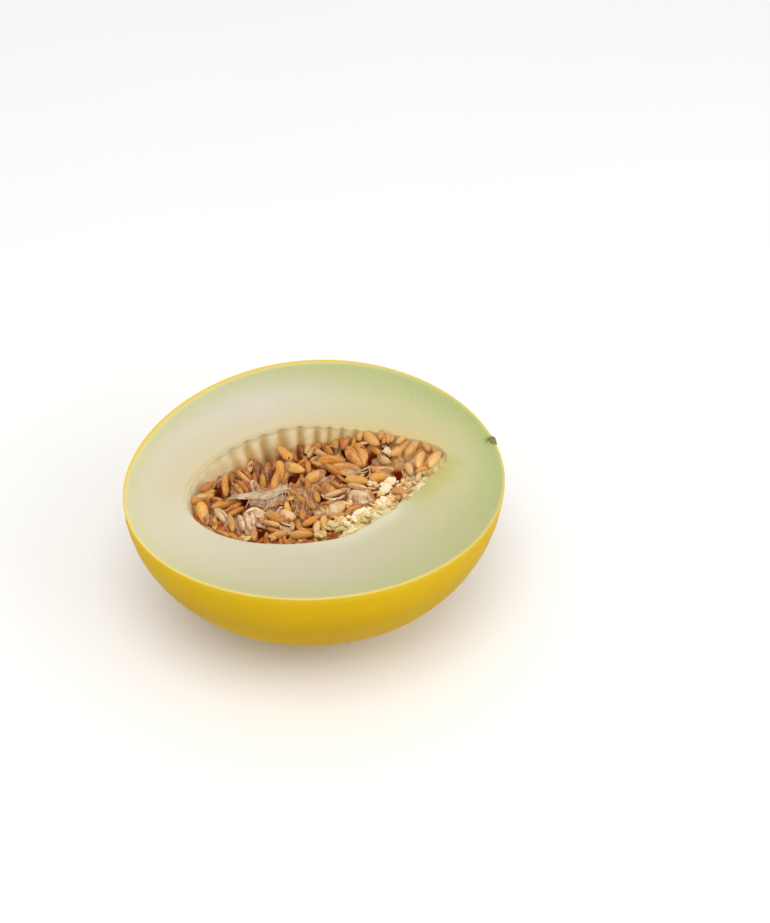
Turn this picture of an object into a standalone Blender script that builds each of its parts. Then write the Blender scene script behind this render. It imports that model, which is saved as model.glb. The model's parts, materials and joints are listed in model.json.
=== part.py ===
"""Half of a canary melon, cut lengthwise, resting on its belly with the cut face up.

Row frame: metres, +Z up. The origin is the middle of the base, on the surface that the half rests on.
+X runs along the fruit's own axis towards the stem end, +Y across it. The cut face is level.

Pieces: the half itself (rind and flesh grew as one), the soft seed pulp that fills the seed cavity,
and the loose seeds that lie on the pulp.
"""

import math

import bmesh
import bpy
from mathutils import Matrix, Vector
from mathutils.bvhtree import BVHTree

MM = 0.001

# ---- the fruit -------------------------------------------------------------
HALF_LENGTH = 88.0 * MM      # blossom end to stem end is 176 mm
HALF_WIDTH = 79.2 * MM       # largest radius of the round cross-section
EGG = 0.056                  # how much fuller the stem end is than the blossom end
TAPER = -0.013               # how the ends narrow against a plain ellipse
BEND = 3.5 * MM              # both ends sit this far to -Y of the middle
FACE_Z = 76.2 * MM           # height of the cut face; the lowest 3 mm of the belly are the flat spot
AROUND = 96                  # points in each loop of the shell
SHELL_RINGS = 11

# ---- the seed cavity -------------------------------------------------------
CAVITY_X = 1.9 * MM          # middle of the cavity's mouth
CAVITY_Y = -4.2 * MM
CAVITY_A = 61.8 * MM         # half its length
CAVITY_B = 38.4 * MM         # half its width
CAVITY_DEPTH = 34.0 * MM
CAVITY_POINT = 0.46          # how much it narrows towards the stem end
CAVITY_RINGS = 9
BED_GAP = 0.45 * MM          # the pulp's clearance to the cavity wall

# ---- the pulp bed ----------------------------------------------------------
BED_RIM_Z = -11.0 * MM       # where the pulp meets the wall, below the cut face
BED_SAG = 3.0 * MM
BED_RINGS = 9
BED_AROUND = 72

# ---- the seeds -------------------------------------------------------------
SEED_L = 12.0 * MM
SEED_W = 5.2 * MM
SEED_T = 2.3 * MM
SEED_GAP = 0.34 * MM         # least clearance between two seeds
READ_Z = -6.0                # mm below the cut face: the level on which the layout below is given
# The layout is given as it is seen from this point (mm, from the middle of the cut face).
SEEN_FROM = Vector((-196.6, -608.8, 607.8))

# One line for each seed: blunt end x, y, pointed end x, y (mm, on the level READ_Z),
# depth of its middle below the cut face (mm), and how wide it looks (mm; negative leans it the other way).
SEEDS = [
    # the big ones on top
    (-52.6, 3.6, -53.6, -11.6, -6.5, 4.9),
    (-56.6, 5.2, -45.0, 6.6, -6.0, 3.9),
    (-40.6, 3.6, -36.6, 18.6, -7.5, 3.2),
    (-17.6, 16.8, -25.0, 3.4, -11.5, -2.3),
    (-9.9, 18.8, -14.4, 4.2, -7.5, 4.4),
    (-5.0, 17.6, -7.6, 28.8, -7.0, 4.0),
    (-8.4, 15.0, -0.8, 8.6, -6.0, 4.9),
    (-2.8, 2.2, 8.2, 5.6, -6.0, 4.5),
    (6.8, 13.6, 19.4, 9.4, -5.0, 4.8),
    (11.0, 7.4, 24.6, 1.0, -6.5, 4.2),
    (22.0, 16.0, 25.4, 3.2, -4.0, 4.8),
    (28.2, 19.4, 29.0, 6.6, -5.0, -4.6),
    (33.4, 24.2, 37.8, 15.0, -5.0, 4.5),
    (15.0, -2.4, 25.4, -7.4, -5.0, 4.4),
    (26.4, -4.8, 36.2, -8.2, -4.0, 4.2),
    (28.6, -1.2, 39.6, -3.4, -6.0, 3.8),
    (49.6, -4.8, 55.8, 2.9, -3.0, 3.9),
    (55.6, -5.6, 63.4, 0.4, -2.2, 4.1),
    (41.4, 6.6, 52.0, 12.0, -4.0, 3.4),
    (47.4, 4.2, 56.2, 11.2, -3.4, 3.5),
    (-26.2, -11.6, -18.6, -22.4, -7.0, 3.6),
    (-20.8, -14.8, -14.6, -18.8, -5.6, 4.9),
    (-19.8, -28.8, -9.4, -31.8, -6.4, 3.6),
    (-28.2, -26.8, -20.4, -28.6, -7.0, 3.2),
    (-12.4, -24.6, -3.2, -22.2, -6.0, 3.0),
    (0.2, -21.2, 10.0, -18.6, -5.0, 4.9),
    (12.4, -12.4, 22.0, -16.4, -5.5, 4.8),
    (3.2, -3.8, 8.4, -9.4, -8.0, 4.8),
    (2.2, -10.6, 14.6, -8.8, -5.6, 2.4),
    (34.2, 6.8, 38.6, 1.8, -5.0, 4.0),
    # the ones beside and under them
    (-48.2, -1.2, -40.0, -2.2, -7.0, 3.6),
    (-47.4, -4.2, -45.2, -15.8, -8.0, 3.2),
    (-44.0, -6.4, -35.0, -3.0, -8.0, 2.4),
    (-43.4, -8.8, -34.4, -5.8, -9.0, 2.4),
    (-38.8, -10.4, -38.6, -20.0, -7.0, 3.2),
    (-35.6, -9.6, -36.0, -19.8, -7.4, 3.0),
    (-32.6, -8.4, -33.4, -18.4, -7.0, 3.2),
    (-29.4, -9.6, -29.6, -18.6, -8.4, 3.0),
    (-35.0, -19.4, -35.8, -27.4, -8.0, 3.2),
    (-28.0, -18.4, -22.2, -24.2, -9.6, 4.2),
    (-11.8, -21.4, -8.6, -14.4, -9.0, 4.0),
    (-4.0, -22.6, -5.0, -33.4, -8.6, 3.6),
    (-34.6, 13.6, -30.6, 4.4, -11.0, 2.4),
    (-32.0, 15.4, -27.6, 6.2, -11.0, 2.4),
    (-29.0, 18.4, -25.8, 9.6, -12.0, 3.4),
    (-20.6, 2.0, -16.6, 19.0, -10.5, 2.3),
    (-16.6, 6.0, -12.6, 21.0, -13.0, 2.3),
    (-18.2, 2.6, -12.8, 11.4, -7.5, 2.8),
    (-2.8, 16.8, -2.0, 25.0, -11.0, 2.6),
    (12.2, 23.6, 14.8, 15.0, -9.0, 3.4),
    (20.6, 18.4, 26.4, 24.0, -9.0, 2.6),
    (44.8, -2.2, 46.0, -8.6, -6.0, 3.2),
    (48.0, -8.0, 55.4, -7.6, -4.0, 3.0),
    (7.4, 22.6, 10.4, 14.8, -11.0, 3.2),
]


def clear_scene():
    for obj in list(bpy.data.objects):
        bpy.data.objects.remove(obj, do_unlink=True)


def material(name, colour, roughness):
    mat = bpy.data.materials.new(name)
    mat.use_nodes = True
    shader = mat.node_tree.nodes["Principled BSDF"]
    shader.inputs["Base Color"].default_value = (*colour, 1.0)
    shader.inputs["Roughness"].default_value = roughness
    shader.inputs["Metallic"].default_value = 0.0
    return mat


def node(name, mesh, mat, location=(0.0, 0.0, 0.0)):
    obj = bpy.data.objects.new(name, mesh)
    bpy.context.scene.collection.objects.link(obj)
    obj.location = location
    mesh.materials.append(mat)
    return obj


# ---- shapes ----------------------------------------------------------------
def skin_point(phi, lam):
    """A point of the fruit's skin, from the middle of the cut face: phi turns about Z, lam goes down from the rim."""
    sx, sy, sz = math.cos(lam) * math.cos(phi), math.cos(lam) * math.sin(phi), math.sin(lam)
    fullness = HALF_WIDTH * (1 + EGG * sx + TAPER * sx * sx)
    return Vector((HALF_LENGTH * sx, sy * fullness - BEND * sx * sx, -sz * fullness))


def flat_spot_lam(phi):
    """How far down the skin the flat spot begins, on the meridian phi."""
    low, high = 0.0, math.pi / 2
    for _ in range(50):
        mid = (low + high) / 2
        if skin_point(phi, mid).z > -FACE_Z:
            low = mid
        else:
            high = mid
    return low


def cavity_mouth(phi):
    """The cavity's outline on the cut face, from its middle."""
    t = math.cos(phi)
    if t < -0.1:
        narrow = 0.0
    elif t < 0.1:
        narrow = (t + 0.1) ** 2 / 0.4
    else:
        narrow = t
    return Vector((CAVITY_A * t, CAVITY_B * math.sin(phi) * (1 - CAVITY_POINT * narrow), 0.0))


def cavity_point(phi, beta, inset=0.0):
    """A point of the cavity's wall: beta goes down from the mouth to the bottom."""
    share = 1 - inset / CAVITY_B
    edge = cavity_mouth(phi) * share
    return Vector((
        CAVITY_X + edge.x * math.cos(beta),
        CAVITY_Y + edge.y * math.cos(beta),
        -(CAVITY_DEPTH - inset) * math.sin(beta),
    ))


def inside_cavity(p, margin):
    """Whether a point, given from the middle of the cut face, is inside the cavity and this far from its wall."""
    depth = max(0.0, -p.z)
    if depth > CAVITY_DEPTH - margin:
        return False
    share = math.sqrt(1 - (depth / CAVITY_DEPTH) ** 2)
    x, y = (p.x - CAVITY_X) / share, (p.y - CAVITY_Y) / share
    if abs(x) > CAVITY_A - margin:
        return False
    phi = math.acos(max(-1.0, min(1.0, x / CAVITY_A)))
    slope = abs(math.cos(phi))                     # the wall turns towards X near both ends
    return abs(y) < cavity_mouth(phi).y - margin * (1 + 0.8 * slope)


def loft(bm, loops):
    """Quads between neighbouring loops of equally many points."""
    rows = [[bm.verts.new(p) for p in loop] for loop in loops]
    for upper, lower in zip(rows, rows[1:]):
        n = len(upper)
        for i in range(n):
            bm.faces.new((upper[i], upper[(i + 1) % n], lower[(i + 1) % n], lower[i]))
    return rows


def finish_mesh(bm, name, smooth_deg=35.0):
    bmesh.ops.recalc_face_normals(bm, faces=bm.faces)
    mesh = bpy.data.meshes.new(name)
    bm.to_mesh(mesh)
    bm.free()
    mesh.shade_smooth()
    mesh.set_sharp_from_angle(angle=math.radians(smooth_deg))
    return mesh


def melon_half_mesh():
    bm = bmesh.new()
    turns = [2 * math.pi * i / AROUND for i in range(AROUND)]
    shell = []
    lowest = [flat_spot_lam(phi) for phi in turns]
    for ring in range(SHELL_RINGS + 1):
        share = (ring / SHELL_RINGS) ** 0.94
        shell.append([skin_point(phi, lam * share) for phi, lam in zip(turns, lowest)])
    for p in shell[-1]:
        p.z = -FACE_Z
    cavity = []
    for ring in range(CAVITY_RINGS):
        beta = 0.5 * math.pi * ring / CAVITY_RINGS
        cavity.append([cavity_point(phi, beta) for phi in turns])
    # cavity bottom, up its wall, out over the cut face, down the skin to the flat spot
    rows = loft(bm, list(reversed(cavity)) + shell)
    bottom = bm.verts.new(cavity_point(0.0, math.pi / 2))
    for i in range(AROUND):
        bm.faces.new((rows[0][i], rows[0][(i + 1) % AROUND], bottom))
    bm.faces.new(rows[-1])
    return finish_mesh(bm, "melon_half", 11.0)


def seed_outline(u):
    """Half the seed's width and thickness at u, from 0 at its blunt end to 1 at its point, as shares."""
    s = 2 * u - 1
    body = math.sqrt(max(0.0, 1 - s * s))
    return body * (1 - 0.24 * s) / 1.03, body * (1 - 0.12 * s) / 1.01


def seed_points(length, width, thick, rings=6, around=8):
    loops = []
    for i in range(1, rings):
        u = 0.5 - 0.5 * math.cos(math.pi * i / rings)
        w, t = seed_outline(u)
        loops.append([
            Vector(((u - 0.5) * length, 0.5 * width * w * math.cos(a), 0.5 * thick * t * math.sin(a)))
            for a in (2 * math.pi * k / around for k in range(around))
        ])
    return loops, Vector((-0.5 * length, 0, 0)), Vector((0.5 * length, 0, 0))


def seed_mesh(name, length, width, thick):
    bm = bmesh.new()
    loops, blunt, point = seed_points(length, width, thick)
    rows = loft(bm, loops)
    n = len(rows[0])
    first, last = bm.verts.new(blunt), bm.verts.new(point)
    for i in range(n):
        bm.faces.new((rows[0][(i + 1) % n], rows[0][i], first))
        bm.faces.new((rows[-1][i], rows[-1][(i + 1) % n], last))
    return finish_mesh(bm, name, 60.0)


def seed_tree(matrix, length, width, thick):
    """The seed grown by half the clearance, as a tree for overlap tests, and its points."""
    grow = SEED_GAP
    loops, blunt, point = seed_points(length + grow, width + grow, thick + grow)
    verts = [matrix @ p for loop in loops for p in loop] + [matrix @ blunt, matrix @ point]
    n, rings = len(loops[0]), len(loops)
    faces = []
    for r in range(rings - 1):
        for i in range(n):
            j = (i + 1) % n
            faces.append((r * n + i, r * n + j, (r + 1) * n + j, (r + 1) * n + i))
    for i in range(n):
        j = (i + 1) % n
        faces.append((j, i, rings * n))
        faces.append(((rings - 1) * n + i, (rings - 1) * n + j, rings * n + 1))
    return BVHTree.FromPolygons([tuple(v) for v in verts], faces), verts


def seed_pose(row, roll_more=0.0):
    """Matrix and sizes of a seed that looks, from SEEN_FROM, as its line in SEEDS says."""
    x1, y1, x2, y2, depth, seen = row
    blunt, point = Vector((x1, y1, READ_Z)), Vector((x2, y2, READ_Z))
    middle = (blunt + point) / 2
    sight = (middle - SEEN_FROM).normalized()
    span = point - blunt
    along = span.dot(sight)
    across = math.sqrt(max(1e-9, span.length_squared - along * along))
    length = min(max(across, 11.2), 13.0)
    # the seed slopes along the line of sight by as much as its real length needs
    root = math.sqrt(max(0.0, length * length - across * across))
    ways = [span + (-along + sign * root) * sight for sign in (1, -1)]
    axis = min(ways, key=lambda w: abs(w.z)).normalized()
    middle = middle + sight * ((depth - READ_Z) / sight.z)
    width = SEED_W / MM * length / 12.0
    thick = SEED_T / MM
    share = (seen * seen - thick * thick) / (width * width - thick * thick)
    roll = math.acos(math.sqrt(max(0.0, min(1.0, share)))) * (1 if seen > 0 else -1) + roll_more
    face = (-sight + axis * sight.dot(axis)).normalized()
    side = axis.cross(face)
    normal = face * math.cos(roll) + side * math.sin(roll)
    wide = normal.cross(axis)
    matrix = Matrix((
        (axis.x, wide.x, normal.x, middle.x * MM),
        (axis.y, wide.y, normal.y, middle.y * MM),
        (axis.z, wide.z, normal.z, middle.z * MM),
        (0, 0, 0, 1),
    ))
    return matrix, length * MM, width * MM, thick * MM, sight


def place_seeds():
    """Each seed keeps its looks and slides along the line of sight to the nearest place where it is clear."""
    placed = []
    slides = sorted((0.5 * k for k in range(-16, 25)), key=lambda s: (abs(s - 0.1), s))
    for number, row in enumerate(SEEDS, 1):
        found = None
        for roll in (0.0, 0.35, -0.35, 0.7, -0.7):
            matrix, length, width, thick, sight = seed_pose(row, roll)
            for slide in slides:
                moved = Matrix.Translation(sight * slide * MM) @ matrix
                tree, verts = seed_tree(moved, length, width, thick)
                if max(v.z for v in verts) > 0.8 * MM:
                    continue
                if not all(inside_cavity(v, 0.25 * MM) for v in verts):
                    continue
                if any(tree.overlap(other["tree"]) for other in placed):
                    continue
                found = {"matrix": moved, "tree": tree, "verts": verts, "row": number,
                         "length": length, "width": width, "thick": thick, "slide": slide}
                break
            if found:
                break
        if found:
            placed.append(found)
        else:
            print("no clear place for the seed on line", number)
    return placed


def bed_mesh(seeds):
    """The pulp: it fills the cavity below the seeds, and its top dips under each of them."""
    turns = [2 * math.pi * i / BED_AROUND for i in range(BED_AROUND)]
    low_points = [v for seed in seeds for v in seed["verts"]]

    def clear_z(x, y, z, reach):
        for v in low_points:
            if (v.x - x) ** 2 + (v.y - y) ** 2 < reach * reach:
                z = min(z, v.z - 0.6 * MM)
        return z

    # the depth at which the pulp leaves the wall, all round
    depths = []
    for phi in turns:
        depth = -BED_RIM_Z
        while depth < 24 * MM:
            p = cavity_point(phi, math.asin(depth / CAVITY_DEPTH), BED_GAP)
            if clear_z(p.x, p.y, -depth, 4.4 * MM) >= -depth:
                break
            depth += 0.5 * MM
        depths.append(depth)
    for _ in range(2):
        depths = [max(depths[i], depths[i - 1] - 1.2 * MM, depths[(i + 1) % len(depths)] - 1.2 * MM)
                  for i in range(len(depths))]

    wall = []
    for ring in range(7):
        loop = []
        for phi, depth in zip(turns, depths):
            beta_top = math.asin(depth / CAVITY_DEPTH)
            loop.append(cavity_point(phi, beta_top + (0.5 * math.pi - beta_top) * ring / 7, BED_GAP))
        wall.append(loop)
    rim = wall[0]
    middle = Vector((CAVITY_X, CAVITY_Y, BED_RIM_Z - BED_SAG))
    top = []
    for ring in range(1, BED_RINGS):
        share = 1 - ring / BED_RINGS
        loop = []
        for p in rim:
            q = middle + (p - middle) * share
            wave = math.sin(q.x * 420 + 1.3) * math.cos(q.y * 510) + 0.6 * math.sin(q.x * 900 + q.y * 700)
            q.z += 0.7 * MM * wave * (1 - share ** 6)
            q.z = max(clear_z(q.x, q.y, q.z, 5.2 * MM), -(CAVITY_DEPTH - 5 * MM))
            loop.append(q)
        top.append(loop)
    centre = Vector((middle.x, middle.y, clear_z(middle.x, middle.y, middle.z, 5.2 * MM)))

    bm = bmesh.new()
    rows = loft(bm, [list(l) for l in reversed(top)] + wall)
    n = BED_AROUND
    c = bm.verts.new(centre)
    for i in range(n):
        bm.faces.new((rows[0][(i + 1) % n], rows[0][i], c))
    bottom = bm.verts.new(cavity_point(0.0, math.pi / 2, BED_GAP))
    for i in range(n):
        bm.faces.new((rows[-1][i], rows[-1][(i + 1) % n], bottom))
    tree = BVHTree.FromBMesh(bm)
    touching = [s["row"] for s in seeds if tree.overlap(s["tree"])]
    if touching:
        print("the bed touches the seeds on lines", touching)
    return finish_mesh(bm, "seed_pulp", 50.0)


def main():
    clear_scene()
    lift = Vector((0.0, 0.0, FACE_Z))
    rind = material("rind_and_flesh", (0.80, 0.58, 0.07), 0.42)
    pulp = material("seed_pulp", (0.62, 0.42, 0.22), 0.35)
    seed = material("seed", (0.68, 0.40, 0.12), 0.32)
    node("melon_half", melon_half_mesh(), rind, lift)
    seeds = place_seeds()
    node("seed_pulp", bed_mesh(seeds), pulp, lift)
    for number, found in enumerate(seeds, 1):
        name = f"seed_{number:02d}"
        obj = node(name, seed_mesh(name, found["length"], found["width"], found["thick"]), seed)
        obj.matrix_world = Matrix.Translation(lift) @ found["matrix"]
    print(len(seeds), "seeds;", "slides (mm):", [round(s["slide"], 1) for s in seeds])


main()
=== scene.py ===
"""Half of a canary melon, cut face up: rind, flesh, fluted seed cavity, pulp and seeds.

Metres, +Z up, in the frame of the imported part. The half rests on the small flat spot of its belly.
"""

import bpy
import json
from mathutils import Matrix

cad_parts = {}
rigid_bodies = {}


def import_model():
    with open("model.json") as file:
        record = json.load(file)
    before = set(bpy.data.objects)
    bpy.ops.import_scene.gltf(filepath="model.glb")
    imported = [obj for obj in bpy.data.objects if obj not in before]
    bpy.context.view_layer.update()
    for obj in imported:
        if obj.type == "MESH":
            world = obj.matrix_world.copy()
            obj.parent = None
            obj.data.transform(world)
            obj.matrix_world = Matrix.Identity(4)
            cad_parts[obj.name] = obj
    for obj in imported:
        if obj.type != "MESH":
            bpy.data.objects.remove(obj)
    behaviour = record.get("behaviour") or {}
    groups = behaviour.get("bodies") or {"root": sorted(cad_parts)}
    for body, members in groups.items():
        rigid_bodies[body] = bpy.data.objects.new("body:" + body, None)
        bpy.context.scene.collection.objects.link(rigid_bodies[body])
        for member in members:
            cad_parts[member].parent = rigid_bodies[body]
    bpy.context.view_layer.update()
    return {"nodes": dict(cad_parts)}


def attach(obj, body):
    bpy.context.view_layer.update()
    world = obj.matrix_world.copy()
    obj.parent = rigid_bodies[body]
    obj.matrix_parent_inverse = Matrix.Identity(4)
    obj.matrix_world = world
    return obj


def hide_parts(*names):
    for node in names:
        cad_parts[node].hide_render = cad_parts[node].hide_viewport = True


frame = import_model()

import json
import math
import random

import bpy
import numpy as np
from mathutils import Matrix, Vector, noise
from mathutils.bvhtree import BVHTree

MM = 0.001

# ---- sizes, as in the part --------------------------------------------------
HALF_LENGTH = 88.0
HALF_WIDTH = 79.2
EGG = 0.056
TAPER = -0.013
BEND = 3.5
FACE_Z = 76.2
CAVITY_X = 1.9
CAVITY_Y = -4.2
CAVITY_A = 61.8
CAVITY_B = 38.4
CAVITY_DEPTH = 34.0
CAVITY_POINT = 0.46

# ---- the camera: where the photograph was taken from ------------------------
EYE = Vector((-196.58, -608.80, 607.79 + FACE_Z))
RIGHT = Vector((0.94224, -0.33401, 0.02497))
UP = Vector((0.21137, 0.65079, 0.72924))
AHEAD = Vector((0.25983, 0.68184, -0.68380))
FOCAL = 1921.2
CENTRE = (385.0, 461.5)


def sight(px, py):
    """The direction in which the picture point lies, from EYE."""
    return (RIGHT * ((px - CENTRE[0]) / FOCAL) - UP * ((py - CENTRE[1]) / FOCAL) + AHEAD).normalized()


def at_level(px, py, depth):
    """The point seen at a picture point, so many mm below the cut face; row frame, mm."""
    ray = sight(px, py)
    return EYE + ray * ((FACE_Z - depth - EYE.z) / ray.z)


# ---- small helpers -----------------------------------------------------------
def smoothstep(a, b, x):
    t = np.clip((np.asarray(x, float) - a) / (b - a), 0.0, 1.0)
    return t * t * (3 - 2 * t)


def field(points, scale, octaves=3, seed=0.0):
    """Fractal noise, about -1 to 1, at each row of points (mm), with features of about `scale` mm."""
    out = np.empty(len(points))
    off = Vector((seed * 17.3, seed * -9.1, seed * 5.7))
    for i, p in enumerate(points):
        out[i] = noise.fractal(Vector((p[0] / scale, p[1] / scale, p[2] / scale)) + off, 1.0, 2.0, octaves)
    return out


def mesh_object(name, verts_mm, faces, material=None, smooth=True):
    mesh = bpy.data.meshes.new(name)
    mesh.from_pydata([tuple(v) for v in np.asarray(verts_mm, float) * MM], [], faces)
    mesh.update()
    if smooth:
        mesh.shade_smooth()
    obj = bpy.data.objects.new(name, mesh)
    bpy.context.scene.collection.objects.link(obj)
    if material is not None:
        for m in material if isinstance(material, (list, tuple)) else (material,):
            mesh.materials.append(m)
    return obj


def attribute(obj, name, values):
    a = obj.data.attributes.new(name, "FLOAT", "POINT")
    a.data.foreach_set("value", np.asarray(values, np.float32).ravel())


# ---- node materials ----------------------------------------------------------
class Nodes:
    """A little shorthand for building a node material."""

    def __init__(self, name):
        self.mat = bpy.data.materials.new(name)
        self.mat.use_nodes = True
        self.tree = self.mat.node_tree
        self.shader = self.tree.nodes["Principled BSDF"]

    def add(self, kind, inputs=(), out=0, **props):
        node = self.tree.nodes.new(kind)
        for key, value in props.items():
            setattr(node, key, value)
        for key, value in dict(inputs).items():
            self.put(node.inputs[key], value)
        return node.outputs[out]

    def put(self, socket, value):
        if isinstance(value, bpy.types.NodeSocket):
            self.tree.links.new(value, socket)
        elif isinstance(value, (tuple, list)) and len(value) == 3 and socket.type == "RGBA":
            socket.default_value = (*value, 1.0)
        else:
            socket.default_value = value

    def set(self, **inputs):
        for key, value in inputs.items():
            self.put(self.shader.inputs[key.replace("_", " ")], value)

    def attr(self, name):
        return self.add("ShaderNodeAttribute", out=2, attribute_name=name)

    def position(self):
        return self.add("ShaderNodeTexCoord", out=3)

    def math(self, op, a, b=0.0, c=0.0, clamp=False):
        return self.add("ShaderNodeMath", {0: a, 1: b, 2: c}, operation=op, use_clamp=clamp)

    def noise(self, scale, detail=3.0, rough=0.55, vector=None, distortion=0.0, out=0):
        inputs = {"Scale": scale, "Detail": detail, "Roughness": rough, "Distortion": distortion}
        inputs["Vector"] = vector if vector is not None else self.position()
        return self.add("ShaderNodeTexNoise", inputs, out=out)

    def stretch(self, sx, sy, sz, vector=None):
        node = self.tree.nodes.new("ShaderNodeMapping")
        node.inputs["Scale"].default_value = (sx, sy, sz)
        self.tree.links.new(vector if vector is not None else self.position(), node.inputs["Vector"])
        return node.outputs[0]

    def ramp(self, factor, stops, interpolation="LINEAR"):
        node = self.tree.nodes.new("ShaderNodeValToRGB")
        node.color_ramp.interpolation = interpolation
        elements = node.color_ramp.elements
        while len(elements) < len(stops):
            elements.new(0.5)
        for e, (where, colour) in zip(elements, stops):
            e.position = where
            e.color = (*colour, 1.0) if len(colour) == 3 else colour
        self.tree.links.new(factor, node.inputs[0])
        return node.outputs[0]

    def span(self, value, low, high, to_low=0.0, to_high=1.0, smooth=True):
        return self.add("ShaderNodeMapRange", {"Value": value, "From Min": low, "From Max": high,
                                               "To Min": to_low, "To Max": to_high}, clamp=True,
                        interpolation_type="SMOOTHSTEP" if smooth else "LINEAR")

    def mix(self, factor, a, b, mode="MIX"):
        node = self.tree.nodes.new("ShaderNodeMix")
        node.data_type = "RGBA"
        node.blend_type = mode
        self.put(node.inputs[0], factor)
        self.put(node.inputs[6], a)
        self.put(node.inputs[7], b)
        return node.outputs[2]

    def bump(self, height, strength, distance, normal=None):
        inputs = {"Height": height, "Strength": strength, "Distance": distance}
        if normal is not None:
            inputs["Normal"] = normal
        return self.add("ShaderNodeBump", inputs)


def srgb(r, g, b):
    """A colour given 0 to 255, as the linear values that the shader takes."""
    out = []
    for c in (r, g, b):
        c /= 255.0
        out.append(c / 12.92 if c <= 0.04045 else ((c + 0.055) / 1.055) ** 2.4)
    return tuple(out)


def rind_material():
    n = Nodes("canary_rind")
    pos = n.position()
    soft = n.noise(18.0, 4.0, 0.55, pos)
    cloud = n.noise(42.0, 3.0, 0.6, pos)
    along = n.noise(1.0, 5.0, 0.6, n.stretch(30.0, 190.0, 190.0, pos))
    base = n.ramp(soft, [(0.28, srgb(183, 143, 0)), (0.52, srgb(189, 151, 0)), (0.78, srgb(197, 160, 1))])
    base = n.mix(n.span(along, 0.52, 0.74, 0.0, 0.30), base, srgb(186, 141, 0))
    base = n.mix(n.span(cloud, 0.56, 0.76, 0.0, 0.25), base, srgb(206, 174, 14))
    # paler and faintly greener towards the cut: painted light, the rind's upper part lit brighter than the belly,
    # strongest in a thin band at the cut; and pale where the fruit lay on the ground
    edge = n.attr("edge")
    base = n.mix(n.span(edge, 2.0, 30.0, 0.75, 0.0), base, srgb(218, 178, 18))
    base = n.mix(n.span(edge, 0.0, 5.0, 0.35, 0.0), base, srgb(228, 198, 66))
    ground = n.attr("ground")
    base = n.mix(n.math("MULTIPLY", ground, 0.4), base, srgb(220, 190, 96))
    scar = n.attr("scar")
    base = n.mix(scar, base, n.ramp(n.noise(900.0, 3.0, 0.7, pos), [(0.3, srgb(84, 84, 30)), (0.7, srgb(150, 140, 66))]))
    specks = n.add("ShaderNodeTexVoronoi", {"Vector": pos, "Scale": 620.0}, out=0, feature="F1")
    base = n.mix(n.span(specks, 0.06, 0.14, 0.22, 0.0), base, srgb(206, 142, 26))
    fine = n.noise(1500.0, 3.0, 0.6, pos)
    crease = n.noise(1.0, 6.0, 0.65, n.stretch(60.0, 420.0, 420.0, pos))
    bump = n.bump(fine, 0.10, 0.0003)
    bump = n.bump(crease, 0.22, 0.0012, bump)
    n.set(Base_Color=base, Roughness=n.span(fine, 0.3, 0.7, 0.36, 0.48), Normal=bump, Subsurface_Weight=0.10,
          Subsurface_Scale=0.003, Specular_IOR_Level=0.03)
    n.put(n.shader.inputs["Subsurface Radius"], (1.0, 0.6, 0.15))
    return n.mat


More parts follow.
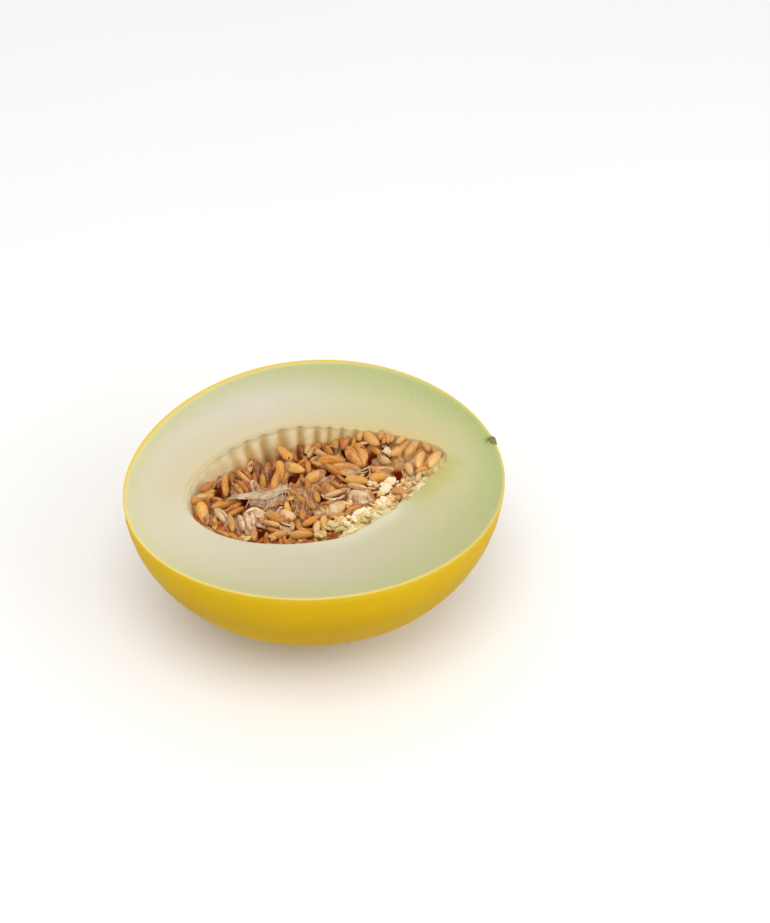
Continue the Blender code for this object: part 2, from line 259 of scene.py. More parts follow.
def flesh_material():
    """The cut face: cream in the middle, greener under the rind, yellow at the very edge."""
    n = Nodes("melon_flesh")
    pos = n.position()
    radial = n.attr("radial")        # 0 at the cavity, 1 at the rind
    rim = n.attr("rim_mm")           # mm from the rind
    inner = n.attr("mouth_mm")       # mm from the cavity
    east = n.attr("east")            # 0 at the blossom end, 1 at the stem end
    wob = n.noise(26.0, 3.0, 0.5, pos)
    r = n.math("ADD", radial, n.math("MULTIPLY", n.math("SUBTRACT", wob, 0.5), 0.16))
    cream = n.ramp(east, [(0.0, srgb(210, 203, 171)), (0.45, srgb(211, 204, 185)), (0.8, srgb(198, 194, 144)), (1.0, srgb(190, 190, 136))])
    green = n.ramp(east, [(0.0, srgb(207, 202, 157)), (0.45, srgb(191, 191, 138)), (0.75, srgb(178, 185, 122)),
                          (1.0, srgb(170, 179, 110))])
    start = n.span(east, 0.0, 1.0, 0.62, 0.22, smooth=False)
    amount = n.math("DIVIDE", n.math("SUBTRACT", r, start), n.math("SUBTRACT", 1.0, start), clamp=True)
    col = n.mix(n.span(amount, 0.0, 1.0), cream, green)
    # fine fibres that fan out from the cavity, and soft watery mottling
    ang = n.attr("around")
    fibre = n.noise(1.0, 4.0, 0.6, n.add("ShaderNodeCombineXYZ", {0: n.math("MULTIPLY", ang, 46.0), 1: n.math("MULTIPLY", radial, 3.0), 2: 0.0}))
    col = n.mix(n.span(fibre, 0.35, 0.75, 0.0, 0.10), col, srgb(222, 216, 190))
    mottle = n.noise(150.0, 4.0, 0.6, pos)
    col = n.mix(n.span(mottle, 0.45, 0.8, 0.0, 0.14), col, srgb(190, 185, 140))
    # soft yellow lip of the cavity; beside the far lip the flesh goes tan, partly its own colour and partly painted
    # shade that tones down the lit rolled lip
    sector = n.attr("soft")          # the soft, watery stretch of the cavity's edge
    north = n.attr("north")
    col = n.mix(n.math("MULTIPLY", n.span(north, 0.42, 0.62), n.span(inner, 2.0, 22.0, 0.50, 0.0)), col, srgb(208, 188, 138))
    # painted shade: the last 3 mm before the far lip mixed darker
    col = n.mix(n.math("MULTIPLY", n.span(north, 0.42, 0.62), n.span(inner, 0.0, 3.0, 0.75, 0.0)), col, srgb(194, 178, 126))
    col = n.mix(n.math("MULTIPLY", n.attr("lip"), n.span(inner, 0.5, 9.0, 0.85, 0.0)), col, srgb(230, 219, 194))
    col = n.mix(n.math("MULTIPLY", sector, n.span(inner, 0.5, 13.0, 0.8, 0.0)), col, srgb(190, 178, 92))
    tan = n.attr("tan")
    col = n.mix(n.math("MULTIPLY", tan, n.span(inner, 0.0, 9.0, 0.75, 0.0)), col, srgb(206, 190, 132))
    # painted shade: the near half of the flat cut face mixed darker, a falloff of the light across it
    col = n.mix(n.span(north, 0.05, 0.45, 0.95, 0.0), col, n.mix(0.58, col, srgb(176, 172, 130)))
    rim = n.math("MULTIPLY", rim, n.span(north, 0.45, 0.8, 1.0, 0.45))
    col = n.mix(n.math("MULTIPLY", n.span(rim, 0.6, 2.0, 0.8, 0.0), n.span(east, 0.62, 0.95, 1.0, 0.35)), col, srgb(224, 210, 138))
    col = n.mix(n.math("MULTIPLY", n.span(rim, 0.3, 0.9, 1.0, 0.0), n.span(east, 0.62, 0.95, 1.0, 0.55)), col, srgb(228, 190, 56))
    stem = n.attr("stem")            # the stem's strands, cut where they enter the fruit
    blotch = n.noise(500.0, 3.0, 0.6, pos)
    stain = n.math("MULTIPLY", stem, n.span(blotch, 0.3, 0.6, 0.55, 1.0))
    col = n.mix(n.span(stain, 0.02, 0.5, 0.0, 0.75), col, srgb(160, 172, 88))
    col = n.mix(n.span(stain, 0.35, 0.9, 0.0, 0.95), col, srgb(84, 96, 40))
    fine = n.noise(1100.0, 4.0, 0.65, pos)
    pores = n.noise(420.0, 3.0, 0.55, pos)
    bump = n.bump(fine, 0.12, 0.0002)
    bump = n.bump(pores, 0.12, 0.0006, bump)
    n.set(Base_Color=col, Roughness=n.span(pores, 0.35, 0.65, 0.30, 0.50), Normal=bump, Subsurface_Weight=0.35,
          Subsurface_Scale=0.006, Specular_IOR_Level=0.4)
    n.put(n.shader.inputs["Subsurface Radius"], (1.0, 0.85, 0.45))
    return n.mat


def wall_material():
    """The cavity's wall: pale ridges, darker olive grooves, browner further down. The grooves' darker colour is painted
    shade in the recesses; the ridges are painted light, brighter than the flesh against the shade the wall lies in,
    with painted shade over their top few mm at the lip.
    """
    n = Nodes("cavity_wall")
    pos = n.position()
    groove = n.attr("groove")
    depth = n.attr("depth_mm")
    fuzz = n.noise(260.0, 4.0, 0.6, pos)
    # painted light: the ridge colour is brighter than the cut face to make up for light the wall lacks; painted shade
    # darkens its top few mm at the lip
    ridge = n.ramp(n.span(depth, 0.0, 18.0, smooth=False), [(0.0, srgb(206, 193, 148)), (0.08, srgb(212, 199, 154)), (0.2, srgb(238, 226, 190)), (0.35, srgb(240, 224, 180)), (0.65, srgb(230, 205, 150)), (1.0, srgb(192, 144, 88))])
    dark = n.ramp(n.span(depth, 0.0, 18.0, smooth=False), [(0.0, srgb(206, 193, 144)), (0.16, srgb(224, 204, 144)), (0.5, srgb(208, 176, 108)), (1.0, srgb(150, 98, 50))])
    # painted light: the west wall mixed lighter, where the lamp does not reach it
    west_painted_light = n.span(n.attr("east"), 0.18, 0.42, 1.0, 0.0)
    ridge = n.mix(n.math("MULTIPLY", west_painted_light, n.span(depth, 2.0, 16.0, 0.90, 0.55)), ridge, srgb(226, 216, 176))
    # the tan stretch at the far right: its own tan, painted lighter against the shade there
    ridge = n.mix(n.math("MULTIPLY", n.attr("tan"), 0.85), ridge, srgb(226, 212, 152))
    dark = n.mix(n.math("MULTIPLY", n.attr("tan"), 0.45), dark, srgb(214, 196, 130))
    dark = n.mix(n.math("MULTIPLY", west_painted_light, 0.7), dark, srgb(222, 210, 168))
    # painted shade: the grooves take the darker colour, shade painted into the recesses
    g = n.math("MULTIPLY", n.math("ADD", groove, n.math("MULTIPLY", n.math("SUBTRACT", fuzz, 0.5), 0.25), clamp=True), 1.0)
    col = n.mix(g, ridge, dark)
    streak = n.noise(1.0, 3.0, 0.6, n.stretch(600.0, 600.0, 60.0, pos))
    col = n.mix(n.span(streak, 0.5, 0.8, 0.0, 0.2), col, srgb(240, 228, 190))
    fine = n.noise(900.0, 3.0, 0.6, pos)
    n.set(Base_Color=col, Roughness=0.45, Normal=n.bump(fine, 0.2, 0.0004), Subsurface_Weight=0.3, Subsurface_Scale=0.004,
          Specular_IOR_Level=0.2)
    n.put(n.shader.inputs["Subsurface Radius"], (1.0, 0.8, 0.4))
    return n.mat


def seed_material():
    n = Nodes("melon_seed")
    tone = n.attr("tone")            # 0 pale, 0.5 golden, 1 red-brown
    along = n.attr("along")          # 0 at the blunt end, 1 at the point
    edge = n.attr("edge")            # 1 on the thin edge
    pos = n.position()
    base = n.ramp(tone, [(0.0, srgb(246, 222, 178)), (0.25, srgb(238, 194, 118)), (0.5, srgb(226, 163, 66)),
                         (0.75, srgb(188, 110, 40)), (1.0, srgb(128, 56, 18))])
    side = n.attr("side")
    streak = n.noise(1.0, 4.0, 0.6, n.add("ShaderNodeCombineXYZ", {0: n.math("MULTIPLY", along, 2.2), 1: n.math("MULTIPLY", side, 5.0), 2: n.math("MULTIPLY", tone, 83.0)}))
    cloud = n.noise(230.0, 3.0, 0.6, pos)
    # painted highlight: cloudy patches mixed towards pale cream
    base = n.mix(n.span(cloud, 0.36, 0.64, 0.0, 0.50), base, n.mix(0.6, base, srgb(255, 216, 144)))
    base = n.mix(n.span(streak, 0.48, 0.70, 0.0, 0.60), base, n.mix(0.5, base, srgb(170, 88, 26)))
    # painted shade: darker towards the thin edge, where the seed's surface turns away from the light
    base = n.mix(n.math("MULTIPLY", edge, 0.62), base, n.mix(0.7, base, srgb(166, 78, 16)))
    base = n.mix(n.span(along, 0.84, 1.0, 0.0, 0.45), base, srgb(140, 72, 24))
    fine = n.noise(1300.0, 3.0, 0.6, pos)
    n.set(Base_Color=base, Roughness=n.span(fine, 0.3, 0.7, 0.22, 0.42), Normal=n.bump(fine, 0.16, 0.0003),
          Subsurface_Weight=0.35, Subsurface_Scale=0.0022, Coat_Weight=0.22, Coat_Roughness=0.22, Specular_IOR_Level=0.3)
    n.put(n.shader.inputs["Subsurface Radius"], (1.0, 0.45, 0.15))
    return n.mat


def pulp_material():
    n = Nodes("seed_bed_pulp")
    pos = n.position()
    depth = n.attr("depth_mm")
    a = n.noise(240.0, 5.0, 0.65, pos)
    b = n.noise(1.0, 4.0, 0.6, n.stretch(300.0, 90.0, 300.0, pos))
    col = n.ramp(a, [(0.25, srgb(128, 40, 8)), (0.42, srgb(166, 72, 20)), (0.56, srgb(204, 118, 52)), (0.72, srgb(236, 178, 114))])
    col = n.mix(n.span(b, 0.5, 0.75, 0.0, 0.35), col, srgb(196, 146, 96))
    # painted shade: the bed turns dark red from 12 mm down, shade painted into the depth of the cavity
    col = n.mix(n.span(depth, 12.0, 19.0, 0.0, 0.8), col, srgb(134, 42, 12))
    col = n.mix(n.span(n.attr("crest"), 0.1, 0.8, 0.0, 0.55), col, srgb(232, 172, 112))
    east = n.attr("pale")
    col = n.mix(east, col, n.ramp(a, [(0.3, srgb(196, 138, 64)), (0.5, srgb(220, 182, 112)), (0.7, srgb(236, 214, 164))]))
    col = n.mix(n.span(n.attr("pit"), 0.15, 0.7), col, srgb(132, 36, 9))
    fine = n.noise(700.0, 4.0, 0.6, pos)
    n.set(Base_Color=col, Roughness=0.3, Normal=n.bump(fine, 0.5, 0.0008), Subsurface_Weight=0.25, Subsurface_Scale=0.004,
          Specular_IOR_Level=n.span(n.attr("pit"), 0.1, 0.6, 0.5, 0.02), Coat_Weight=n.span(n.attr("pit"), 0.05, 0.4, 0.2, 0.0), Coat_Roughness=0.15)
    n.put(n.shader.inputs["Subsurface Radius"], (1.0, 0.5, 0.25))
    return n.mat


def strand_material(name, colour, shade, alpha=0.82, skin=False, torn=0.62, dirt=0.75):
    n = Nodes(name)
    pos = n.position()
    a = n.noise(320.0, 4.0, 0.65, pos)
    col = n.mix(n.span(a, 0.35, 0.7), colour, shade)
    if skin:                         # a skin with holes and ragged, fading edges
        holes = n.noise(170.0, 4.0, 0.6, pos)
        fade = n.attr("fade")
        cover = n.math("ADD", n.math("MULTIPLY", fade, 1.1), n.math("MULTIPLY", n.math("SUBTRACT", holes, torn), 2.4))
        cover = n.span(cover, 0.0, 0.75, 0.0, alpha)
        col = n.mix(n.span(n.noise(210.0, 3.0, 0.6, pos), 0.42, 0.68, 0.0, dirt), col, n.mix(0.55, shade, srgb(120, 60, 28)))
        n.set(Base_Color=col, Roughness=0.3, Normal=n.bump(n.noise(800.0, 3.0, 0.6, pos), 0.3, 0.0005), Alpha=cover,
              Subsurface_Weight=0.2, Subsurface_Scale=0.002, Coat_Weight=0.35, Coat_Roughness=0.15)
        n.put(n.shader.inputs["Subsurface Radius"], (1.0, 0.7, 0.5))
        return n.mat
    n.set(Base_Color=col, Roughness=0.28, Normal=n.bump(n.noise(1000.0, 3.0, 0.6, pos), 0.35, 0.0005),
          Alpha=n.span(a, 0.3, 0.7, min(1.0, alpha + 0.15), max(0.0, alpha - 0.15)), Subsurface_Weight=0.3,
          Subsurface_Scale=0.002, Coat_Weight=0.4, Coat_Roughness=0.12)
    n.put(n.shader.inputs["Subsurface Radius"], (1.0, 0.8, 0.6))
    return n.mat


def floor_material():
    n = Nodes("pale_floor")
    pos = n.position()
    a = n.noise(6.0, 2.0, 0.5, pos)
    n.set(Base_Color=n.mix(a, (0.945, 0.945, 0.942), (0.96, 0.96, 0.957)), Roughness=0.7, Specular_IOR_Level=0.2)
    return n.mat


# ---- the fruit's shape ---------------------------------------------------------
def skin(phi, lam):
    """Points of the skin in mm, from the middle of the cut face (arrays)."""
    sx, sy, sz = np.cos(lam) * np.cos(phi), np.cos(lam) * np.sin(phi), np.sin(lam)
    full = HALF_WIDTH * (1 + EGG * sx + TAPER * sx * sx)
    return np.stack([HALF_LENGTH * sx, sy * full - BEND * sx * sx, -sz * full], -1)


def mouth(phi):
    t = np.cos(phi)
    narrow = np.where(t < -0.1, 0.0, np.where(t < 0.1, (t + 0.1) ** 2 / 0.4, t))
    return np.stack([CAVITY_A * t, CAVITY_B * np.sin(phi) * (1 - CAVITY_POINT * narrow)], -1)


def cavity(phi, beta):
    m = mouth(phi)
    return np.stack([CAVITY_X + m[..., 0] * np.cos(beta), CAVITY_Y + m[..., 1] * np.cos(beta), -CAVITY_DEPTH * np.sin(beta)], -1)


# Middles of the grooves in the cavity's far wall (x in mm), how wide and how strong each one is.
FLUTES = [(-50.5, 3.4, 0.10), (-44.5, 3.2, 0.12), (-37.5, 3.4, 0.28), (-30.2, 2.7, 0.7), (-22.0, 3.0, 1.0), (-13.6, 3.0, 1.0),
          (-4.2, 3.3, 1.0), (4.4, 2.3, 1.0), (12.0, 2.1, 1.0), (17.6, 1.7, 1.0), (23.2, 1.8, 0.9), (29.0, 1.7, 0.7), (34.6, 1.8, 0.5),
          (40.5, 1.8, 0.4), (46.5, 1.8, 0.3)]


def flute_depth(phi):
    """0 to 1 for each phi: how deep a groove of the wall is there."""
    dense = np.linspace(0, 2 * np.pi, 4001)
    m = mouth(dense)
    s = np.concatenate([[0], np.cumsum(np.linalg.norm(np.diff(m, axis=0), axis=1))])
    here = np.interp(np.mod(phi, 2 * np.pi), dense, s)
    total = s[-1]
    marks = []
    far = dense <= np.pi
    for x, w, strong in FLUTES:
        marks.append((np.interp(-(x - CAVITY_X), -m[far, 0], s[far]), w, strong))
    rng = random.Random(5)
    at = np.interp(np.pi, dense, s) + 1.0
    while at < total - 4.0:
        marks.append((at, rng.uniform(2.3, 3.3), 0.8))
        at += rng.uniform(6.6, 8.6)
    out = np.zeros_like(here)
    for c, w, strong in marks:
        d = np.abs(here - c)
        d = np.minimum(d, total - d)
        out = np.maximum(out, strong * np.exp(-(d / (0.72 * w)) ** 2.2))
    return out


def build_melon(mats):
    n = 400
    phi = np.linspace(0, 2 * np.pi, n, endpoint=False)
    rings, tags, mat_of = [], [], []

    low = np.zeros(n)
    high = np.full(n, np.pi / 2)
    for _ in range(50):
        mid = (low + high) / 2
        above = skin(phi, mid)[:, 2] > -FACE_Z
        low, high = np.where(above, mid, low), np.where(above, high, mid)
    lowest = low

    def ring(points, radial, rim, inner, groove, depth, edge, ground, kind):
        rings.append(points)
        tags.append([np.broadcast_to(np.asarray(v, float), (n,)) for v in (radial, rim, inner, groove, depth, edge, ground)])
        mat_of.append(kind)

    flute = flute_depth(phi)
    outer = skin(phi, np.zeros(n))
    inner0 = cavity(phi, np.zeros(n))
    outward = np.stack([np.cos(phi), np.sin(phi)], -1)
    m = mouth(phi)
    tangent = np.roll(m, -1, 0) - np.roll(m, 1, 0)
    normal = np.stack([tangent[:, 1], -tangent[:, 0]], -1)
    normal /= np.linalg.norm(normal, axis=1)[:, None]

    # bottom of the cavity up to its mouth; the lip is rolled over a little, more on the far side,
    # and it is ragged where the pulp was torn off beside the stem end
    far = smoothstep(-0.35, 0.35, np.sin(phi))
    soft = smoothstep(0.10, 0.45, np.cos(phi)) * (1 - smoothstep(-0.35, -0.02, np.sin(phi)))
    torn = np.array([noise.fractal(Vector((math.cos(a) * 9.0, math.sin(a) * 9.0, 3.0)), 1.0, 2.0, 4) for a in phi])
    far_lip = smoothstep(-0.55, 0.15, np.sin(phi)) * smoothstep(-1.35, -0.2, np.sin(phi) - 0.4 * np.cos(phi))
    far_soft = smoothstep(-0.30, 0.15, np.sin(phi))
    lip_size = 0.20 * (1 - far_lip) + 0.02 - 2.6 * soft * np.clip(torn, -0.4, 1.0)
    lip_round = 1.0 + 0.2 * far_lip
    from_depth = 1.0 - 4.0 * far_lip
    wall_rows = 62
    for k in range(wall_rows):
        share = 1 - k / wall_rows
        beta = 0.5 * np.pi * (0.02 + 0.98 * share ** 1.25) if share > 0 else 0.0
        p = cavity(phi, np.full(n, beta))
        depth = -p[:, 2]
        g = flute * smoothstep(0.0, 1.0, (depth - from_depth) / (7.0 - from_depth)) * (1 - 0.75 * smoothstep(20.0, 31.0, depth))
        lip = lip_size * np.exp(-depth / lip_round)
        p = p.copy()
        p[:, :2] += normal * (2.3 * g - 0.4 * (1 - flute) * smoothstep(1.0, 6.0, depth) + lip)[:, None]
        ring(p, 0.0, 60.0, 0.0, g, depth, 60.0, 0.0, 2)
    # the cut face
    face_rows = 40
    lip_in = inner0.copy()
    first = flute * smoothstep(0.0, 1.0, -from_depth / (7.0 - from_depth))
    lip_in[:, :2] += normal * (lip_size + 0.12 + 2.3 * first)[:, None]
    width = np.linalg.norm(outer[:, :2] - lip_in[:, :2], axis=1)
    for k in range(face_rows + 1):
        u = k / face_rows
        u = 0.5 * u + 0.5 * (3 * u * u - 2 * u ** 3)
        p = lip_in * (1 - u) + outer * u
        p[:, 2] = 0.0
        rim = width * (1 - u)
        inn = width * u
        p[:, 2] -= 0.30 * (1 - far_soft) * np.exp(-inn / 0.8) + far_soft * (0.12 * np.exp(-inn / 1.1) + 0.85 * np.exp(-inn / 5.5))
        ring(p, u, rim, inn, 0.0, 0.0, 0.0, 0.0, 1)
    # over the edge and down the skin to the flat spot
    skin_rows = 96
    for k in range(1, skin_rows + 1):
        share = (k / skin_rows) ** 1.06
        p = skin(phi, lowest * share)
        down = -p[:, 2]
        ground = smoothstep(FACE_Z - 26.0, FACE_Z - 4.0, down)
        ring(p, 1.0, 0.0, 60.0, 0.0, 0.0, down, ground, 0)
    rings[-1][:, 2] = -FACE_Z

    pts = np.concatenate(rings)
    tag = np.concatenate([np.stack(t, -1) for t in tags])
    first_face = wall_rows
    first_skin = wall_rows + face_rows + 1
    total_rows = len(rings)
    row = np.repeat(np.arange(total_rows), n)
    ang = np.tile(phi, total_rows)

    # relief: wrinkles of the skin, the knife's faint waves on the face, soft lumps on the wall
    is_skin = row >= first_skin
    sp = pts[is_skin]
    down = tag[is_skin, 5]
    fade = smoothstep(0.0, 6.0, down) * (1 - smoothstep(FACE_Z - 9.0, FACE_Z - 3.0, down))
    lam = np.arcsin(np.clip(-sp[:, 2] / HALF_WIDTH, 0, 1))
    long_w = field(np.stack([sp[:, 0] * 0.16, sp[:, 1], sp[:, 2]], -1), 9.0, 3, 1.0)
    broad = field(sp, 34.0, 2, 2.0)
    fine = field(sp, 3.2, 2, 3.0)
    push = fade * (0.22 * long_w + 0.35 * broad + 0.03 * fine)
    out = sp - np.array([0.0, 0.0, 0.0])
    out /= np.linalg.norm(out, axis=1)[:, None]
    pts[is_skin] = sp + out * np.minimum(push, 0.5)[:, None]
    # the scars at both ends, cut in half with the fruit
    scar = np.zeros(len(pts))
    for x, y, depth_c, r, hollow in ((HALF_LENGTH, -BEND - 1.0, 0.0, 4.6, 0.5), (-HALF_LENGTH, -BEND, 0.0, 2.8, -0.5)):
        c = np.array([x, y, -depth_c])
        d = np.linalg.norm(pts - c, axis=1)
        near = is_skin & (d < 3 * r)
        pts[near, 0] -= np.sign(x) * hollow * np.exp(-(d[near] / (0.8 * r)) ** 2)
        scar = np.maximum(scar, np.where(is_skin, 1 - smoothstep(0.45 * r, 0.9 * r, d), 0))
    is_face = (row >= first_face) & (row < first_skin)
    fp = pts[is_face]
    calm = smoothstep(0.0, 3.0, tag[is_face, 1])
    pts[is_face, 2] += calm * (0.10 * field(fp, 14.0, 2, 4.0) + 0.035 * field(fp, 1.6, 2, 5.0)) - 0.1 * calm
    is_wall = row < first_face
    wp = pts[is_wall]
    lump = 0.45 * field(wp, 5.0, 3, 6.0) * smoothstep(1.0, 5.0, tag[is_wall, 4])
    inward = np.array([CAVITY_X, CAVITY_Y, 0.0]) - wp
    inward /= np.linalg.norm(inward, axis=1)[:, None] + 1e-9
    pts[is_wall] = wp + inward * lump[:, None]

    pts[:, 2] += FACE_Z
    faces, kinds = [], []
    for r in range(total_rows - 1):
        a, b = r * n, (r + 1) * n
        if r + 1 <= first_face:
            kind = 2
        elif r + 1 < first_skin:
            kind = 1
        else:
            kind = 0
        for i in range(n):
            j = (i + 1) % n
            faces.append((a + i, a + j, b + j, b + i))
            kinds.append(kind)
    bottom = len(pts)
    centre = np.array([[CAVITY_X, CAVITY_Y, FACE_Z - CAVITY_DEPTH]])
    foot = np.array([[rings[-1][:, 0].mean(), rings[-1][:, 1].mean(), 0.0]])
    allp = np.concatenate([pts, centre, foot])
    for i in range(n):
        faces.append((i, bottom, (i + 1) % n))
        kinds.append(2)
        faces.append(((total_rows - 1) * n + i, (total_rows - 1) * n + (i + 1) % n, bottom + 1))
        kinds.append(0)
    obj = mesh_object("melon_rind_and_flesh", allp, faces, mats)
    obj.data.polygons.foreach_set("material_index", np.array(kinds, np.int32))
    tag = np.concatenate([tag, [[0, 60, 0, 0, CAVITY_DEPTH, 60, 0], [1, 0, 60, 0, 0, FACE_Z, 1]]])
    for i, name in enumerate(("radial", "rim_mm", "mouth_mm", "groove", "depth_mm", "edge", "ground")):
        attribute(obj, name, tag[:, i])
    attribute(obj, "scar", np.concatenate([scar, [0, 0]]))
    attribute(obj, "around", np.concatenate([ang, [0, 0]]))
    attribute(obj, "east", (allp[:, 0] / HALF_LENGTH + 1) / 2)
    near_side = 1 - smoothstep(-0.35, -0.02, np.sin(phi))
    attribute(obj, "soft", np.concatenate([np.tile(smoothstep(0.40, 0.70, np.cos(phi)) * near_side, total_rows), [0, 0]]))
    cream_lip = smoothstep(-0.55, -0.05, np.cos(phi)) * (1 - smoothstep(0.36, 0.62, np.cos(phi))) * near_side
    attribute(obj, "lip", np.concatenate([np.tile(cream_lip, total_rows), [0, 0]]))
    tan = smoothstep(0.0, 0.55, np.cos(phi)) * smoothstep(-0.15, 0.2, np.sin(phi))
    attribute(obj, "tan", np.concatenate([np.tile(tan, total_rows), [0, 0]]))
    attribute(obj, "north", (allp[:, 1] / HALF_WIDTH + 1) / 2)
    away = np.linalg.norm((allp - np.array((87.0, -4.5, FACE_Z))) / np.array((1.25, 1.0, 1.0)), axis=1)
    attribute(obj, "stem", np.exp(-(away / 3.3) ** 2))
    sharp = np.zeros(len(obj.data.edges), bool)
    edges = np.empty(len(obj.data.edges) * 2, np.int32)
    obj.data.edges.foreach_get("vertices", edges)
    edges = edges.reshape(-1, 2)
    lo = (first_skin - 1) * n
    sharp = ((edges >= lo) & (edges < lo + n)).all(1)
    a = obj.data.attributes.new("sharp_edge", "BOOLEAN", "EDGE")
    a.data.foreach_set("value", sharp)
    return obj


# ---- seeds ---------------------------------------------------------------------
def seed_shape(length, width, thick, rings=15, around=22, skew=0.0, plump=1.0, ridge=1.0):
    """Points of one seed about its middle: +X to its point, Y across, Z through it; with its along and edge shares."""
    pts, along, edge, side = [], [], [], []
    for i in range(1, rings):
        u = 0.5 - 0.5 * math.cos(math.pi * i / rings)
        s = 2 * u - 1
        body = math.sqrt(max(0.0, 1 - s * s))
        w = body ** 0.96 * (1 - 0.26 * s) / 1.03
        t = body ** 0.8 * (1 - 0.10 * s) / 1.01
        if u > 0.9:                                  # the point is drawn out and a little blunt
            w *= 1 - 0.25 * (u - 0.9) / 0.1
        for k in range(around):
            a = 2 * math.pi * k / around
            c, q = math.cos(a), math.sin(a)
            flat = math.copysign(abs(q) ** 0.85, q)
            y = 0.5 * width * w * c
            z = 0.5 * thick * t * flat * (1 - 0.20 * abs(c) ** 3) * plump
            # a fine lip runs along the edge
            z += 0.10 * ridge * thick * t * math.exp(-((abs(c) - 0.82) / 0.10) ** 2) * (1 if q >= 0 else -1)
            pts.append(((u - 0.5) * length, y + skew * width * (4 * u * (1 - u) - 0.5), z))
            along.append(u)
            edge.append(abs(c) ** 4)
            side.append(c)
    n0 = len(pts)
    pts.append((-0.5 * length, -0.5 * skew * width, 0.0)); along.append(0.0); edge.append(0.6); side.append(0.0)
    pts.append((0.5 * length, -0.5 * skew * width, 0.0)); along.append(1.0); edge.append(0.6); side.append(0.0)
    faces = []
    rows = rings - 1
    for r in range(rows - 1):
        for k in range(around):
            j = (k + 1) % around
            faces.append((r * around + k, r * around + j, (r + 1) * around + j, (r + 1) * around + k))
    for k in range(around):
        j = (k + 1) % around
        faces.append((j, k, n0))
        faces.append(((rows - 1) * around + k, (rows - 1) * around + j, n0 + 1))
    return np.array(pts), faces, np.array(along), np.array(edge), np.array(side)


def cad_seed_pose(obj):
    """Middle, axes and sizes (mm) of a seed node, from its own vertices."""
    v = np.array([tuple(p.co) for p in obj.data.vertices]) / MM
    v = np.unique(np.round(v, 4), axis=0)
    c = (v.max(0) + v.min(0)) / 2
    _, _, axes = np.linalg.svd(v - v.mean(0), full_matrices=False)
    along, across, through = axes
    q = (v - v.mean(0)) @ along
    mid = 0.5 * (q.max() + q.min())
    half = 0.5 * (q.max() - q.min())
    r = np.linalg.norm((v - v.mean(0)) - np.outer(q, along), axis=1)
    blunt = r[q < mid - 0.3 * half].mean()
    point = r[q > mid + 0.3 * half].mean()
    if blunt < point:
        along = -along
    q, a, t = (v @ along), (v @ across), (v @ through)
    centre = along * (q.max() + q.min()) / 2 + across * (a.max() + a.min()) / 2 + through * (t.max() + t.min()) / 2
    if np.dot(np.cross(along, across), through) < 0:
        through = -through
    return centre, along, across, through, q.max() - q.min(), a.max() - a.min(), t.max() - t.min()


def tone_here(x, y, tone):
    """The seeds are redder along the far wall and paler towards the stem end."""
    far_side = float(smoothstep(2.0, 12.0, y)) * (1 - float(smoothstep(22.0, 36.0, x)))
    return min(1.0, max(0.0, tone + 0.11 * far_side - 0.06 * float(smoothstep(26.0, 40.0, x))))


def seed_object(name, centre, along, across, through, length, width, thick, tone, rng, mat, fine=True):
    shape, faces, u, edge, side = seed_shape(length, width, thick, 15 if fine else 11, 22 if fine else 16,
                                       skew=rng.uniform(-0.05, 0.05), plump=rng.uniform(1.04, 1.20))
    warp = rng.uniform(-0.5, 0.5)
    shape[:, 2] += warp * (shape[:, 0] / length) ** 2 * thick
    ph = rng.uniform(0, 99)
    for p in shape:
        d = 0.05 * noise.noise(Vector((p[0] * 0.7 + ph, p[1] * 0.7, p[2] * 0.7)))
        p[2] += d * 2
        p[1] += d
    world = centre + shape[:, :1] * along + shape[:, 1:2] * across + shape[:, 2:] * through
    obj = mesh_object(name, world, faces, mat)
    attribute(obj, "tone", np.full(len(world), tone_here(centre[0], centre[1], tone)))
    attribute(obj, "along", u)
    attribute(obj, "edge", edge)
    attribute(obj, "side", side)
    return obj


def pose_seen(px1, py1, px2, py2, depth, seen, lean=0.0):
    """The seed that is seen from the blunt end at the first picture point to the tip at the second,
    with its middle so many mm below the cut face, and looking `seen` mm wide."""
    ray = sight((px1 + px2) / 2, (py1 + py2) / 2)
    mid = at_level((px1 + px2) / 2, (py1 + py2) / 2, depth)
    a, b = at_level(px1, py1, depth), at_level(px2, py2, depth)
    span = b - a
    # the two ends as seen, in the plane across the line of sight
    flat = span - ray * span.dot(ray)
    across_len = flat.length
    length = min(max(across_len, 10.2), 13.2)
    root = math.sqrt(max(0.0, length * length - across_len * across_len))
    ways = [flat + ray * root, flat - ray * root]
    axis = min(ways, key=lambda w: abs(w.z)) if lean == 0.0 else (ways[0] if lean > 0 else ways[1])
    axis = axis.normalized()
    width, thick = 5.2 * length / 12.0, 2.2
    share = (seen * seen - thick * thick) / (width * width - thick * thick)
    roll = math.acos(math.sqrt(max(0.0, min(1.0, share)))) * (1 if seen > 0 else -1)
    face = (-ray + axis * ray.dot(axis)).normalized()
    side = axis.cross(face)
    through = face * math.cos(roll) + side * math.sin(roll)
    across = through.cross(axis)
    return [np.array(tuple(x)) for x in (mid, axis, across, through)] + [length, width, thick]


# ---- the half itself -------------------------------------------------------------
rind, flesh, wall = rind_material(), flesh_material(), wall_material()
melon = build_melon([rind, flesh, wall])
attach(melon, "root")
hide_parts("melon_half")

